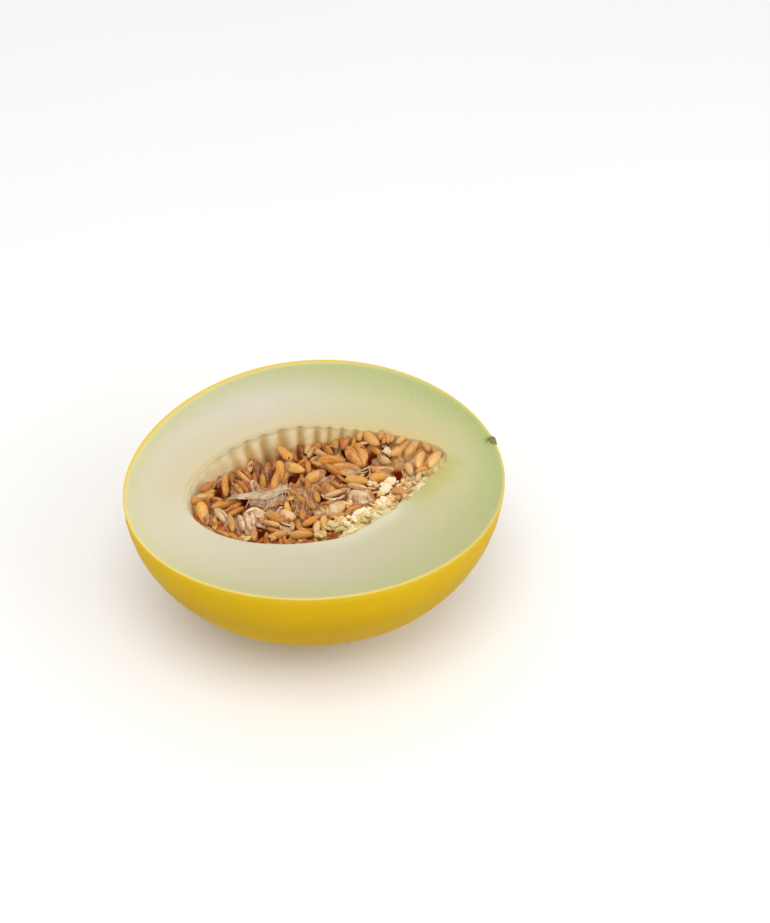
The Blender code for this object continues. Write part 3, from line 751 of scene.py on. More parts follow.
# ---- seeds of the part -------------------------------------------------------------
seed_mat = seed_material()
rng = random.Random(11)
TONES = {1: 0.46, 2: 0.42, 3: 0.48, 4: 0.72, 5: 0.46, 6: 0.48, 7: 0.30, 8: 0.44, 9: 0.46, 10: 0.34, 11: 0.62, 12: 0.58,
         13: 0.40, 14: 0.42, 15: 0.46, 16: 0.22, 17: 0.24, 18: 0.26, 19: 0.36, 20: 0.44, 21: 0.50, 22: 0.08, 23: 0.42,
         24: 0.30, 25: 0.50, 26: 0.22, 27: 0.18, 28: 0.56, 29: 0.10, 30: 0.22, 31: 0.46, 32: 0.14, 33: 0.74, 34: 0.70,
         35: 0.26, 36: 0.34, 37: 0.30, 38: 0.50, 39: 0.44, 40: 0.40, 41: 0.62, 42: 0.26, 43: 0.74, 44: 0.78, 45: 0.56,
         46: 0.70, 47: 0.76, 48: 0.46, 49: 0.66, 50: 0.54, 51: 0.60, 52: 0.40, 53: 0.44, 54: 0.36}
# how much bigger than in the part a few well-filled seeds are (length, width, thickness)
SWELL = {1: (1.06, 1.22, 1.15), 6: (1.05, 1.2, 1.1), 8: (1.0, 1.1, 1.1), 10: (1.04, 1.2, 1.15), 11: (1.0, 1.1, 1.1), 13: (1.04, 1.15, 1.1),
         15: (1.05, 1.2, 1.15), 17: (1.12, 1.36, 1.3), 18: (1.12, 1.34, 1.3), 19: (1.05, 1.25, 1.2), 20: (1.05, 1.22, 1.2),
         21: (1.0, 1.15, 1.1), 22: (1.12, 1.2, 1.1), 26: (1.1, 1.18, 1.15), 28: (1.0, 1.15, 1.1), 48: (1.2, 1.3, 1.2)}
SKINNED = []         # poses of the seeds that keep a shred of skin
SKIN_ON = {3, 4, 7, 8, 9, 10, 12, 16, 18, 26, 28, 29, 31, 32, 35, 36, 37, 39, 40, 42, 53}
placed = []          # trees of the seeds so far, for keeping the others clear of them


def tree_of(obj):
    return BVHTree.FromPolygons([tuple(v.co) for v in obj.data.vertices], [tuple(p.vertices) for p in obj.data.polygons])


seed_nodes = sorted(n for n in frame["nodes"] if n.startswith("seed_") and n != "seed_pulp")
supports = []
for name in seed_nodes:
    number = int(name.split("_")[1])
    pose = list(cad_seed_pose(frame["nodes"][name]))
    for i, k in enumerate(SWELL.get(number, (1.0, 1.06, 1.05))):
        pose[4 + i] *= k
    obj = seed_object(f"kernel_{number:02d}", *pose, TONES.get(number, 0.45) + rng.uniform(-0.03, 0.03), rng, seed_mat)
    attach(obj, "root")
    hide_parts(name)
    placed.append(tree_of(obj))
    supports.append(pose[0])
    if number in SKIN_ON:
        SKINNED.append(pose)

# ---- more seeds, as the photograph shows them ----------------------------------------
def near(cx, cy):
    """A point read on a six-fold enlargement of the cavity, as a picture point."""
    return 180.0 + cx / 6.0, 415.0 + cy / 6.0


# Blunt end x, y and tip x, y on the enlargement, depth below the cut face (mm), width as seen (mm), tone.
MORE_SEEDS = [
    # left tip
    (205, 450, 108, 486, 7.0, 2.8, 0.30), (214, 414, 138, 470, 7.5, 2.3, 0.14), (204, 402, 124, 462, 8.0, 2.2, 0.62),
    (186, 384, 96, 484, 8.5, 2.3, 0.72), (172, 590, 196, 682, 7.5, 3.4, 0.44), (228, 590, 262, 690, 9.0, 3.6, 0.56),
    (292, 604, 322, 700, 8.0, 2.8, 0.40), (212, 566, 268, 640, 6.2, 2.2, 0.06), (312, 610, 336, 690, 9.0, 2.6, 0.22),
    (256, 540, 366, 516, 8.6, 2.3, 0.50), (286, 556, 372, 536, 8.2, 2.2, 0.40), (298, 588, 384, 560, 9.0, 2.2, 0.62),
    (236, 520, 196, 540, 9.5, 2.6, 0.90), (212, 700, 300, 726, 9.0, 2.8, 0.42), (292, 716, 350, 750, 8.5, 2.6, 0.5),
    # between the upright seeds on the left
    (300, 350, 318, 430, 11.0, 2.4, 0.88), (318, 352, 326, 416, 10.0, 2.3, 0.22), (326, 332, 346, 410, 11.5, 2.4, 0.66),
    (342, 340, 428, 418, 9.6, 2.2, 0.34), (336, 356, 410, 440, 10.8, 2.3, 0.82), (344, 404, 412, 462, 7.6, 3.0, 0.60),
    (328, 424, 378, 474, 7.8, 2.6, 0.28), (376, 400, 432, 452, 8.4, 2.4, 0.80), (388, 356, 456, 412, 10.5, 3.2, 0.46),
    (424, 282, 420, 344, 13.5, 2.7, 0.05), (452, 268, 448, 352, 14.0, 2.4, 0.60), (472, 292, 476, 352, 13.5, 2.5, 0.16),
    (486, 324, 480, 404, 12.6, 3.2, 0.86), (502, 300, 506, 408, 12.0, 2.4, 0.78), (408, 322, 442, 362, 13.0, 2.6, 0.92),
    (394, 300, 380, 350, 14.5, 2.6, 0.50), (512, 274, 520, 424, 9.8, 2.8, 0.52), (530, 282, 538, 430, 10.6, 2.3, 0.66),
    (548, 262, 548, 340, 11.8, 2.5, 0.74), (562, 266, 566, 380, 10.6, 2.4, 0.66), (580, 254, 586, 340, 12.0, 2.4, 0.78),
    (628, 318, 622, 416, 8.6, 4.2, 0.40), (462, 300, 462, 400, 13.0, 2.3, 0.94), (440, 350, 452, 440, 11.5, 2.6, 0.7),
    (350, 318, 360, 360, 13.5, 2.5, 0.70), (312, 330, 300, 400, 12.0, 2.4, 0.76), (240, 370, 232, 440, 12.0, 2.6, 0.84),
    # along the far wall
    (670, 200, 672, 274, 12.0, 2.5, 0.66), (696, 192, 702, 266, 12.4, 2.6, 0.42), (712, 178, 738, 272, 13.0, 3.0, 0.90),
    (764, 178, 762, 232, 13.0, 2.8, 0.02), (738, 196, 748, 280, 14.0, 2.4, 0.84), (742, 256, 764, 306, 10.5, 2.6, 0.56),
    (792, 206, 772, 256, 11.8, 2.3, 0.04), (780, 238, 794, 280, 10.0, 2.6, 0.30), (802, 180, 852, 192, 12.5, 3.2, 0.50),
    (858, 184, 918, 192, 11.0, 3.6, 0.44), (868, 206, 924, 244, 9.4, 3.4, 0.44), (814, 228, 876, 242, 9.0, 3.0, 0.03),
    (924, 144, 942, 204, 11.0, 3.8, 0.46), (962, 146, 984, 206, 10.5, 3.2, 0.50), (786, 272, 852, 266, 8.0, 3.0, 0.26),
    (790, 284, 864, 312, 8.4, 2.3, 0.24), (868, 306, 952, 346, 7.6, 3.2, 0.58), (932, 332, 1012, 384, 8.0, 3.4, 0.68),
    (630, 304, 706, 342, 8.6, 3.4, 0.62), (762, 288, 776, 348, 8.8, 2.8, 0.46), (784, 300, 862, 324, 9.2, 2.2, 0.52),
    (724, 300, 800, 330, 10.5, 3.0, 0.86), (640, 240, 660, 290, 13.0, 2.8, 0.66), (834, 200, 848, 240, 12.0, 2.6, 0.62),
    # centre
    (636, 450, 696, 472, 8.0, 3.0, 0.50), (704, 500, 746, 518, 7.6, 3.2, 0.44), (580, 486, 578, 552, 8.8, 2.8, 0.74),
    (798, 462, 838, 520, 8.0, 3.8, 0.50), (866, 440, 950, 488, 8.4, 3.8, 0.42), (888, 408, 966, 432, 9.0, 3.3, 0.50),
    (690, 636, 732, 692, 8.6, 3.4, 0.60), (664, 634, 678, 690, 7.8, 2.2, 0.12), (862, 602, 862, 722, 7.4, 3.6, 0.40),
    (818, 640, 820, 706, 8.0, 3.4, 0.10), (592, 694, 684, 736, 8.4, 3.4, 0.34), (504, 642, 596, 664, 8.0, 2.3, 0.14),
    (508, 660, 604, 690, 8.6, 2.3, 0.20), (518, 680, 612, 706, 9.4, 2.4, 0.32), (736, 690, 800, 694, 9.6, 2.3, 0.80),
    (560, 720, 648, 752, 8.8, 2.8, 0.50), (690, 735, 760, 752, 8.6, 2.8, 0.36), (420, 600, 436, 690, 9.4, 2.8, 0.40),
    (458, 590, 470, 690, 9.6, 2.6, 0.52), (350, 640, 352, 730, 10.0, 2.6, 0.48), (384, 660, 400, 740, 9.8, 2.6, 0.30),
    (900, 612, 1004, 600, 6.4, 2.8, 0.58), (1000, 582, 1094, 548, 6.2, 3.0, 0.54), (880, 532, 962, 500, 8.4, 2.6, 0.46),
    (1040, 604, 1096, 570, 6.8, 2.6, 0.44), (760, 600, 790, 660, 9.6, 3.0, 0.70), (840, 560, 880, 610, 8.6, 3.0, 0.36),
    # right
    (998, 186, 1046, 304, 6.4, 4.2, 0.50), (1092, 196, 1112, 306, 6.6, 3.8, 0.52), (1026, 130, 1014, 190, 5.4, 2.5, 0.40),
    (1048, 136, 1036, 196, 5.2, 2.4, 0.40), (984, 196, 1012, 248, 6.6, 2.9, 0.38), (1086, 102, 1074, 150, 3.6, 2.5, 0.28),
    (1056, 178, 1138, 164, 4.6, 2.7, 0.02), (1206, 88, 1202, 152, 2.6, 3.6, 0.60), (1170, 100, 1180, 156, 3.4, 3.8, 0.42),
    (1242, 108, 1250, 166, 2.6, 2.9, 0.36), (1270, 114, 1268, 168, 2.8, 2.9, 0.36), (1296, 92, 1284, 152, 2.0, 3.8, 0.46),
    (1128, 172, 1214, 246, 6.4, 3.6, 0.50), (1266, 236, 1366, 196, 3.8, 3.6, 0.40), (1302, 192, 1352, 164, 3.2, 2.5, 0.34),
    (1360, 246, 1426, 186, 3.6, 3.0, 0.46), (1424, 318, 1500, 332, 4.2, 3.4, 0.34), (1358, 296, 1396, 356, 4.4, 3.4, 0.24),
    (1372, 356, 1424, 402, 5.4, 3.0, 0.50), (1432, 346, 1428, 398, 4.4, 2.9, 0.10), 
    (1006, 420, 1130, 440, 5.0, 2.6, 0.06), (1040, 436, 1124, 470, 6.2, 3.0, 0.50), (1092, 442, 1152, 474, 6.8, 2.6, 0.78),
    (1128, 512, 1184, 542, 5.6, 3.2, 0.50), (1150, 300, 1276, 312, 6.6, 2.6, 0.30), 
    (1186, 270, 1250, 300, 6.6, 2.6, 0.40), (1344, 128, 1304, 176, 2.6, 3.0, 0.46),
    (1530, 300, 1576, 262, 3.0, 2.8, 0.40), (1404, 150, 1436, 200, 2.2, 3.0, 0.30), (1450, 168, 1500, 214, 2.0, 2.8, 0.42),
    (1380, 140, 1396, 200, 2.8, 2.6, 0.62), (1500, 196, 1540, 236, 1.8, 2.8, 0.5), (1310, 118, 1322, 176, 2.4, 2.8, 0.34), (1224, 120, 1222, 176, 3.4, 2.6, 0.72),
    (1145, 90, 1150, 150, 3.2, 2.6, 0.70), (1470, 300, 1510, 270, 4.2, 3.0, 0.60), (1126, 96, 1120, 150, 3.0, 3.0, 0.48),
]


def inside(point, margin):
    """Whether a point (mm, row frame) is in the cavity and this far from its wall."""
    depth = max(0.0, FACE_Z - point[2])
    if depth > CAVITY_DEPTH - margin:
        return False
    share = math.sqrt(1 - (depth / CAVITY_DEPTH) ** 2)
    x, y = (point[0] - CAVITY_X) / share, (point[1] - CAVITY_Y) / share
    if abs(x) > CAVITY_A:
        return False
    t = x / CAVITY_A
    narrow = 0.0 if t < -0.1 else ((t + 0.1) ** 2 / 0.4 if t < 0.1 else t)
    half = CAVITY_B * math.sqrt(1 - t * t) * (1 - CAVITY_POINT * narrow)
    return abs(y) < half - margin


class Crowd:
    """The seeds placed so far; tells whether one more would run into them."""

    def __init__(self):
        self.trees, self.middles = [], []

    def add(self, tree, middle):
        self.trees.append(tree)
        self.middles.append(np.array(middle))

    def hits(self, tree, middle):
        gap = np.linalg.norm(np.array(self.middles) - middle, axis=1)
        return any(tree.overlap(self.trees[i]) for i in np.nonzero(gap < 13.5)[0])


def hull_tree(pose, shrink=0.94):
    centre, along, across, through, length, width, thick = pose
    shape, faces, _, _, _ = seed_shape(length * shrink, width * shrink, thick * shrink, 7, 10)
    world = centre + shape[:, :1] * along + shape[:, 1:2] * across + shape[:, 2:] * through
    return BVHTree.FromPolygons([tuple(v) for v in world * MM], faces), world


crowd = Crowd()
for tree, middle in zip(placed, supports):
    crowd.add(tree, middle)

made, skipped = 0, []
for row, (x1, y1, x2, y2, depth, seen, tone) in enumerate(MORE_SEEDS, 1):
    (px1, py1), (px2, py2) = near(x1, y1), near(x2, y2)
    best = None
    for size, slide in ((z, 0.5 * k) for z in (1.0, 0.9, 0.8, 0.7) for k in sorted(range(-9, 17), key=abs)):
        pose = pose_seen(px1, py1, px2, py2, depth, seen)
        pose[4:] = [pose[4] * size, pose[5] * size, pose[6] * max(size, 0.8)]
        ray = np.array(tuple(sight((px1 + px2) / 2, (py1 + py2) / 2)))
        pose[0] = pose[0] + ray * slide
        tree, world = hull_tree(pose, 0.90)
        if world[:, 2].max() > FACE_Z + 0.6:
            continue
        leaning = pose[0][0] > 12.0 and pose[0][1] > 0.0
        if not inside(pose[0], 0.0 if leaning else 0.4) or sum(not inside(p, -0.3) for p in world) > (20 if leaning else 7):
            continue
        if crowd.hits(tree, pose[0]):
            continue
        best = (pose, tree)
        break
    if best is None:
        skipped.append(row)
        continue
    pose, tree = best
    obj = seed_object(f"more_seed_{row:03d}", *pose, tone + rng.uniform(-0.04, 0.04), rng, seed_mat)
    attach(obj, "root")
    crowd.add(tree, pose[0])
    if row % 4 == 1:
        SKINNED.append(pose)
    made += 1
print("more seeds:", made, "left out for want of room:", skipped)

# ---- the pulp bed ---------------------------------------------------------------------
# Levels of the bed (mm below the cut face) at places where it is low or high.
LEVELS = [(-54, 8, 13), (-47, 16, 15), (-38, 23, 17), (-29, 27, 19), (-20, 29, 20), (-10, 30, 20), (0, 30, 19), (9, 29, 17),
          (18, 26, 14), (27, 23, 11), (36, 19, 9.5), (45, 14, 8), (54, 8, 6), (61, 0, 4.5),
          (-52, -12, 9.5), (-45, -21, 9.5), (-34, -28, 9.5), (-20, -33, 9.5), (-4, -35, 9.5), (10, -32, 8.5), (22, -28, 7), (34, -21, 6),
          (45, -15, 5), (54, -9, 4), (-48, -26, 11), (-36, -34, 11), (-20, -39, 11), (-4, -41, 11), (10, -38, 9), (-7, 7, 15), (18, 17, 13),
          (38, -8, 10), (25, -1, 12), (31, 6, 11), (-44, 9, 14), (-30, -22, 14), (-8, -28, 12), (8, 3, 13)]


# Dark hollows between the seeds: x, y on the enlargement and radius (mm).
PITS = [(684, 366, 4.2), (572, 536, 2.6), (988, 412, 3.6), (756, 676, 3.0), (496, 692, 3.2), (240, 452, 3.0), (976, 222, 3.0),
        (1160, 268, 3.4), (1106, 356, 2.8), (1304, 372, 3.0), (1228, 232, 2.0), (846, 512, 2.2), (760, 362, 2.2), (470, 360, 3.4),
        (420, 440, 2.2), (990, 480, 2.0), (640, 560, 2.0), (400, 500, 2.4), (300, 470, 2.2), (880, 350, 2.2), (1040, 350, 2.4)]
PIT_AT = np.array([tuple(at_level(*near(x, y), 10.0))[:2] + (r,) for x, y, r in PITS])


def pit_share(xy):
    """0 to 1: how far into a dark hollow each x, y lies."""
    d = np.linalg.norm(xy[:, None, :] - PIT_AT[None, :, :2], axis=2) / PIT_AT[:, 2]
    return np.exp(-d ** 2.2).max(1)


def control_points():
    pts = [(p[0], p[1], p[2] - 2.1) for p in crowd.middles]
    pts += [(x, y, FACE_Z - d) for x, y, d in LEVELS]
    return np.array(pts)


CONTROL = control_points()


def bed_heights(xy):
    """Heights of the pulp under the seeds (mm, row frame) at rows of x, y."""
    d2 = ((CONTROL[None, :, :2] - xy[:, None, :]) ** 2).sum(-1) + 4.0
    w = 1 / d2 ** 2
    return (w * CONTROL[:, 2]).sum(1) / w.sum(1)


def build_bed(mat):
    n, rows = 440, 130
    phi = np.linspace(0, 2 * np.pi, n, endpoint=False)
    m = mouth(phi)
    middle = np.array((CAVITY_X, CAVITY_Y))
    # how far out the bed reaches before it meets the wall
    shares = np.linspace(0.4, 1.0, 61)
    meets = np.full(n, 0.4)
    for q in shares:
        d = FACE_Z - bed_heights(middle + m * q)
        meets = np.where(q <= np.sqrt(np.clip(1 - (d / CAVITY_DEPTH) ** 2, 0, 1)), q, meets)
    reach = np.linalg.norm(m, axis=1)
    end = meets + 3.4 / reach
    pts = np.concatenate([np.concatenate([middle + m * (end * r / rows)[:, None], np.zeros((n, 1))], 1) for r in range(1, rows + 1)])
    out = np.concatenate([end * r / rows / meets for r in range(1, rows + 1)])
    held = np.concatenate([np.minimum(end * r / rows, meets) for r in range(1, rows + 1)])
    h = bed_heights(middle + np.tile(m, (rows, 1)) * held[:, None])
    calm = 1 - smoothstep(0.94, 1.0, out)
    turned = np.stack([0.9 * pts[:, 0] + 0.4 * pts[:, 1], -0.4 * pts[:, 0] + 0.9 * pts[:, 1], 0 * h], -1)
    fibre = 1 - 2.2 * np.abs(field(turned * (0.42, 1.15, 1.0), 2.3, 3, 9.0)) + 0.5 * field(turned, 0.9, 2, 10.0)
    pts[:, 2] = h + (1.2 * field(pts, 5.5, 3, 7.0) + 0.35 * field(pts, 1.4, 3, 8.0) + 0.75 * (fibre - 0.5)) * (0.25 + 0.75 * calm)
    pit = pit_share(pts[:, :2])
    pts[:, 2] = np.minimum(pts[:, 2], FACE_Z - 1.5) - 3.5 * pit * calm
    allp = np.concatenate([pts, [[CAVITY_X, CAVITY_Y, bed_heights(middle[None])[0]]]])
    # closed below, inside the flesh and under the seeds
    floor = pts[-n:].copy()
    floor[:, :2] = middle + m * (end * 0.9)[:, None]
    floor[:, 2] -= 6.0
    foot = np.array([[CAVITY_X, CAVITY_Y, FACE_Z - CAVITY_DEPTH + 0.5]])
    count = len(allp)
    allp = np.concatenate([allp, floor, foot])
    faces = []
    for r in range(rows - 1):
        for i in range(n):
            j = (i + 1) % n
            faces.append((r * n + i, (r + 1) * n + i, (r + 1) * n + j, r * n + j))
    last = (rows - 1) * n
    for i in range(n):
        j = (i + 1) % n
        faces.append((i, j, count - 1))
        faces.append((last + i, count + i, count + j, last + j))
        faces.append((count + j, count + i, count + n))
    obj = mesh_object("pulp_bed", allp, faces, mat)
    attribute(obj, "depth_mm", FACE_Z - allp[:, 2])
    pale = smoothstep(22.0, 48.0, allp[:, 0]) * 0.75 + 0.8 * smoothstep(8.0, 26.0, allp[:, 0]) * smoothstep(-12.0, -26.0, allp[:, 1])
    pit_all = np.concatenate([pit, np.zeros(len(allp) - len(pit))])
    attribute(obj, "pale", np.clip(pale * (1 - pit_all), 0, 0.9))
    attribute(obj, "pit", pit_all)
    crest = np.concatenate([fibre - 0.35, np.zeros(len(allp) - len(pit))])
    attribute(obj, "crest", np.clip(crest * (1 - pit_all), 0, 1))
    return obj


bed = build_bed(pulp_material())
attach(bed, "root")
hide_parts("seed_pulp")

# ---- seeds between and under the others ---------------------------------------------------
filler_rng = random.Random(23)
fillers = []
for k in range(5200):
    if len(fillers) >= 190:
        break
    x, y = filler_rng.uniform(-58, 62), filler_rng.uniform(-41, 33)
    small = 1.0 if k < 2200 else 0.82
    if not inside((x, y, FACE_Z - 6.0), 1.0):
        continue
    if pit_share(np.array([[x, y]]))[0] > 0.3 or (x > 33.0 and filler_rng.random() < 0.75):
        continue
    z = bed_heights(np.array([[x, y]]))[0] + filler_rng.uniform(-0.6, 2.4)
    heading = filler_rng.uniform(0, 2 * math.pi)
    pitch = math.radians(filler_rng.gauss(0, 26) + (38 if filler_rng.random() < 0.25 else 0))
    axis = Vector((math.cos(heading) * math.cos(pitch), math.sin(heading) * math.cos(pitch), math.sin(pitch)))
    roll = filler_rng.gauss(0, 0.5) + (math.pi / 2 if filler_rng.random() < 0.6 else 0)
    flat = axis.cross(Vector((0, 0, 1))).normalized()
    top = flat.cross(axis).normalized()
    through = top * math.cos(roll) + flat * math.sin(roll)
    across = through.cross(axis)
    length = small * filler_rng.uniform(9.0, 12.0)
    pose = [np.array((x, y, z))] + [np.array(tuple(v)) for v in (axis, across, through)] + [length, length * filler_rng.uniform(0.36, 0.44), filler_rng.uniform(1.6, 2.3)]
    tree, worldpts = hull_tree(pose, 0.82)
    if worldpts[:, 2].max() > FACE_Z - 2.5 or sum(not inside(p, -0.2) for p in worldpts) > 12:
        continue
    if crowd.hits(tree, pose[0]):
        continue
    crowd.add(tree, pose[0])
    tone = min(1.0, max(0.15, filler_rng.gauss(0.60, 0.17) + (0.14 if y > 4.0 and x < 30.0 else 0.0)))
    fillers.append((pose, tone))
print("fillers:", len(fillers))
for part_no in range(4):
    verts, faces, tones, alongs, edges, sides = [], [], [], [], [], []
    base = 0
    for pose, tone in fillers[part_no::4]:
        centre, along, across, through, length, width, thick = pose
        shape, f, u, e, sd = seed_shape(length, width, thick, 10, 14, skew=filler_rng.uniform(-0.05, 0.05))
        verts.append(centre + shape[:, :1] * along + shape[:, 1:2] * across + shape[:, 2:] * through)
        faces += [tuple(i + base for i in q) for q in f]
        base += len(shape)
        tones.append(np.full(len(shape), tone)); alongs.append(u); edges.append(e); sides.append(sd)
    obj = mesh_object(f"bedded_seeds_{part_no + 1}", np.concatenate(verts), faces, seed_mat)
    attribute(obj, "tone", np.concatenate(tones))
    attribute(obj, "along", np.concatenate(alongs))
    attribute(obj, "edge", np.concatenate(edges))
    attribute(obj, "side", np.concatenate(sides))
    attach(obj, "root")


# ---- the top of the pile of seeds ---------------------------------------------------------------------
def pile_tree():
    verts, faces = [], []
    for obj in bpy.data.objects:
        if obj.name.startswith(("kernel_", "more_seed_", "bedded_seeds_", "pulp_bed", "flesh_chunks_", "torn_flesh")):
            base = len(verts)
            verts += [tuple(v.co) for v in obj.data.vertices]
            faces += [tuple(base + i for i in p.vertices) for p in obj.data.polygons]
    return BVHTree.FromPolygons(verts, faces)


PILE = pile_tree()


def top_of_pile(x, y):
    hit = PILE.ray_cast(Vector((x, y, FACE_Z + 8.0)) * MM, Vector((0, 0, -1)))
    return None if hit[0] is None else hit[0].z / MM


# ---- strands, membranes and crumbs of pulp ---------------------------------------------------
def smooth_line(points, count):
    """A Catmull-Rom curve through the points, with that many samples."""
    p = np.array(points, float)
    p = np.concatenate([2 * p[:1] - p[1:2], p, 2 * p[-1:] - p[-2:-1]])
    out = []
    for s in np.linspace(0, len(points) - 1 - 1e-9, count):
        i = int(s)
        t = s - i
        a, b, c, d = p[i], p[i + 1], p[i + 2], p[i + 3]
        out.append(0.5 * (2 * b + (c - a) * t + (2 * a - 5 * b + 4 * c - d) * t * t + (3 * b - a - 3 * c + d) * t ** 3))
    return np.array(out)


def seen_line(points, count=40):
    """A smooth line through (x, y, depth) read on the enlargement, in mm."""
    q = smooth_line(points, count)
    return np.array([tuple(at_level(*near(x, y), d)) for x, y, d in q])


def tube(verts, faces, line, radius, flat=0.5, sides=7, phase=0.0):
    """Adds a ragged, flattened strand along a line; radius in mm at each point."""
    n = len(line)
    base = len(verts)
    radius = np.broadcast_to(radius, (n,))
    for i in range(n):
        ahead = line[min(i + 1, n - 1)] - line[max(i - 1, 0)]
        ahead = ahead / (np.linalg.norm(ahead) + 1e-9)
        side = np.cross(ahead, (0, 0, 1.0))
        side /= np.linalg.norm(side) + 1e-9
        up = np.cross(side, ahead)
        for k in range(sides):
            a = 2 * math.pi * k / sides
            wob = 1 + 0.35 * noise.noise(Vector(tuple(line[i] * 0.8)) + Vector((k * 2.1 + phase, 0, 0)))
            verts.append(line[i] + side * (math.cos(a) * radius[i] * wob) + up * (math.sin(a) * radius[i] * wob * flat))
    for i in range(n - 1):
        for k in range(sides):
            j = (k + 1) % sides
            faces.append((base + i * sides + k, base + i * sides + j, base + (i + 1) * sides + j, base + (i + 1) * sides + k))
    faces.append(tuple(base + k for k in reversed(range(sides))))
    faces.append(tuple(base + (n - 1) * sides + k for k in range(sides)))


def taper(n, thick, ends=0.35):
    u = np.linspace(0, 1, n)
    return thick * (ends + (1 - ends) * np.sin(np.pi * u) ** 0.6)


# (line, thickness mm, flatness) of the white-grey strands
WHITE_STRANDS = [
    ([(284, 502, 6.6), (330, 492, 6.2), (400, 478, 5.6), (455, 490, 5.2), (520, 484, 5.0), (562, 458, 5.0), (600, 436, 5.2), (648, 426, 5.8)], 1.05, 0.45),
    ([(300, 494, 6.8), (360, 486, 6.0), (420, 492, 5.4), (480, 500, 5.2), (540, 496, 5.4), (590, 480, 5.6)], 0.8, 0.5),
    ([(462, 486, 5.4), (440, 450, 5.6), (428, 420, 5.8), (432, 396, 5.8), (446, 398, 6.2)], 0.75, 0.6),
    ([(436, 440, 5.8), (466, 446, 6.2), (500, 462, 6.0), (520, 478, 5.6)], 0.5, 0.6),
    ([(556, 600, 6.8), (580, 584, 6.2), (598, 560, 5.8), (616, 550, 6.0)], 0.7, 0.6),
    ([(540, 470, 5.2), (590, 450, 5.0), (640, 440, 5.4), (668, 446, 6.0)], 0.8, 0.5),
    ([(500, 486, 5.2), (490, 520, 6.4), (476, 552, 7.4)], 0.35, 0.7), ([(520, 486, 5.2), (528, 530, 6.4), (520, 570, 7.4)], 0.3, 0.7),
    ([(420, 486, 5.6), (410, 520, 7.0), (392, 560, 8.0)], 0.3, 0.7), ([(606, 440, 5.4), (616, 490, 6.6), (606, 540, 7.2)], 0.35, 0.7),
    ([(640, 428, 5.8), (656, 480, 6.8), (650, 530, 7.4)], 0.3, 0.7), ([(860, 318, 6.8), (940, 316, 6.2), (1010, 330, 5.8), (1086, 346, 5.4), (1128, 338, 5.2)], 0.55, 0.5),
    ([(900, 300, 6.2), (980, 296, 5.8), (1040, 322, 5.4), (1100, 334, 5.2)], 0.4, 0.6), ([(960, 350, 6.6), (1030, 348, 5.8), (1096, 330, 5.2), (1140, 306, 5.2)], 0.45, 0.6),
    ([(1018, 446, 5.0), (1022, 490, 5.0), (1014, 536, 5.6)], 0.75, 0.6), ([(1150, 470, 4.6), (1176, 462, 4.4), (1200, 466, 4.4)], 0.7, 0.6),
    ([(1334, 330, 5.2), (1344, 362, 5.0), (1352, 398, 5.2)], 0.6, 0.6), ([(1492, 168, 5.0), (1494, 190, 4.4), (1486, 222, 3.8)], 0.45, 0.7),
    ([(1132, 312, 5.4), (1140, 350, 5.2), (1118, 380, 5.4)], 0.5, 0.6), ([(1186, 240, 6.0), (1196, 262, 5.6), (1224, 292, 5.4), (1262, 300, 5.4)], 0.5, 0.5),
]
CREAM_STRANDS = [
    ([(846, 476, 6.8), (876, 496, 6.0), (926, 506, 5.6), (966, 494, 5.4), (1000, 462, 5.4), (1016, 438, 5.8)], 0.85, 0.7),
    ([(1004, 414, 5.2), (1050, 422, 4.8), (1110, 436, 4.6), (1176, 442, 4.8)], 0.8, 0.5),
    ([(1012, 430, 5.6), (1070, 444, 5.4), (1120, 452, 5.2)], 0.5, 0.5), ([(1060, 180, 4.4), (1096, 168, 3.9), (1140, 168, 4.0)], 0.9, 0.6),
    ([(884, 586, 5.4), (930, 552, 4.6), (986, 530, 4.6), (1030, 536, 5.0)], 0.7, 0.5), ([(900, 540, 5.6), (950, 524, 5.0), (1000, 520, 5.0)], 0.6, 0.5),
    ([(204, 560, 6.0), (236, 566, 5.5), (268, 590, 5.8), (290, 630, 6.6)], 0.55, 0.6), ([(380, 602, 7.2), (410, 574, 6.0), (446, 560, 5.6), (484, 572, 6.0), (520, 596, 7.0)], 0.8, 0.5),
    ([(396, 612, 7.2), (430, 584, 6.2), (470, 578, 6.0), (500, 594, 6.6)], 0.6, 0.5), ([(600, 640, 6.8), (650, 660, 6.8), (690, 664, 7.2)], 0.4, 0.5),
]
PULP_LINES = []
fan_rng = random.Random(3)
for k in range(16):          # the fan of fibres that hangs over the seeds at the near left
    u = k / 15
    x0, y0 = 386 + 120 * u, 590 - 26 * math.sin(math.pi * u)
    PULP_LINES.append(([(x0, y0, 6.4), (x0 + 6 + 10 * u, y0 + 42, 6.8), (x0 + 10 + 24 * u + fan_rng.uniform(-8, 8), y0 + 80 + fan_rng.uniform(-10, 20), 8.2)], fan_rng.uniform(0.22, 0.45), 0.7))
for k in range(11):          # loose fibres over the membrane in the middle
    x0, y0 = fan_rng.uniform(600, 860), fan_rng.uniform(405, 500)
    a, ln = fan_rng.gauss(1.45, 0.45), fan_rng.uniform(40, 110)
    PULP_LINES.append(([(x0, y0, 6.9), (x0 + 0.5 * ln * math.cos(a) + fan_rng.uniform(-10, 10), y0 + 0.5 * ln * math.sin(a), 6.9), (x0 + ln * math.cos(a), y0 + ln * math.sin(a), 8.0)], fan_rng.uniform(0.2, 0.4), 0.7))
for k in range(30):          # brown fibres between the seeds
    x0, y0 = fan_rng.uniform(420, 1000), fan_rng.uniform(500, 690)
    a = fan_rng.uniform(-0.6, 0.6)
    ln = fan_rng.uniform(30, 90)
    PULP_LINES.append(([(x0, y0, 8.6), (x0 + 0.5 * ln * math.cos(a), y0 + 0.5 * ln * math.sin(a) + fan_rng.uniform(-8, 8), 7.8), (x0 + ln * math.cos(a), y0 + ln * math.sin(a), 8.8)], fan_rng.uniform(0.25, 0.5), 0.7))


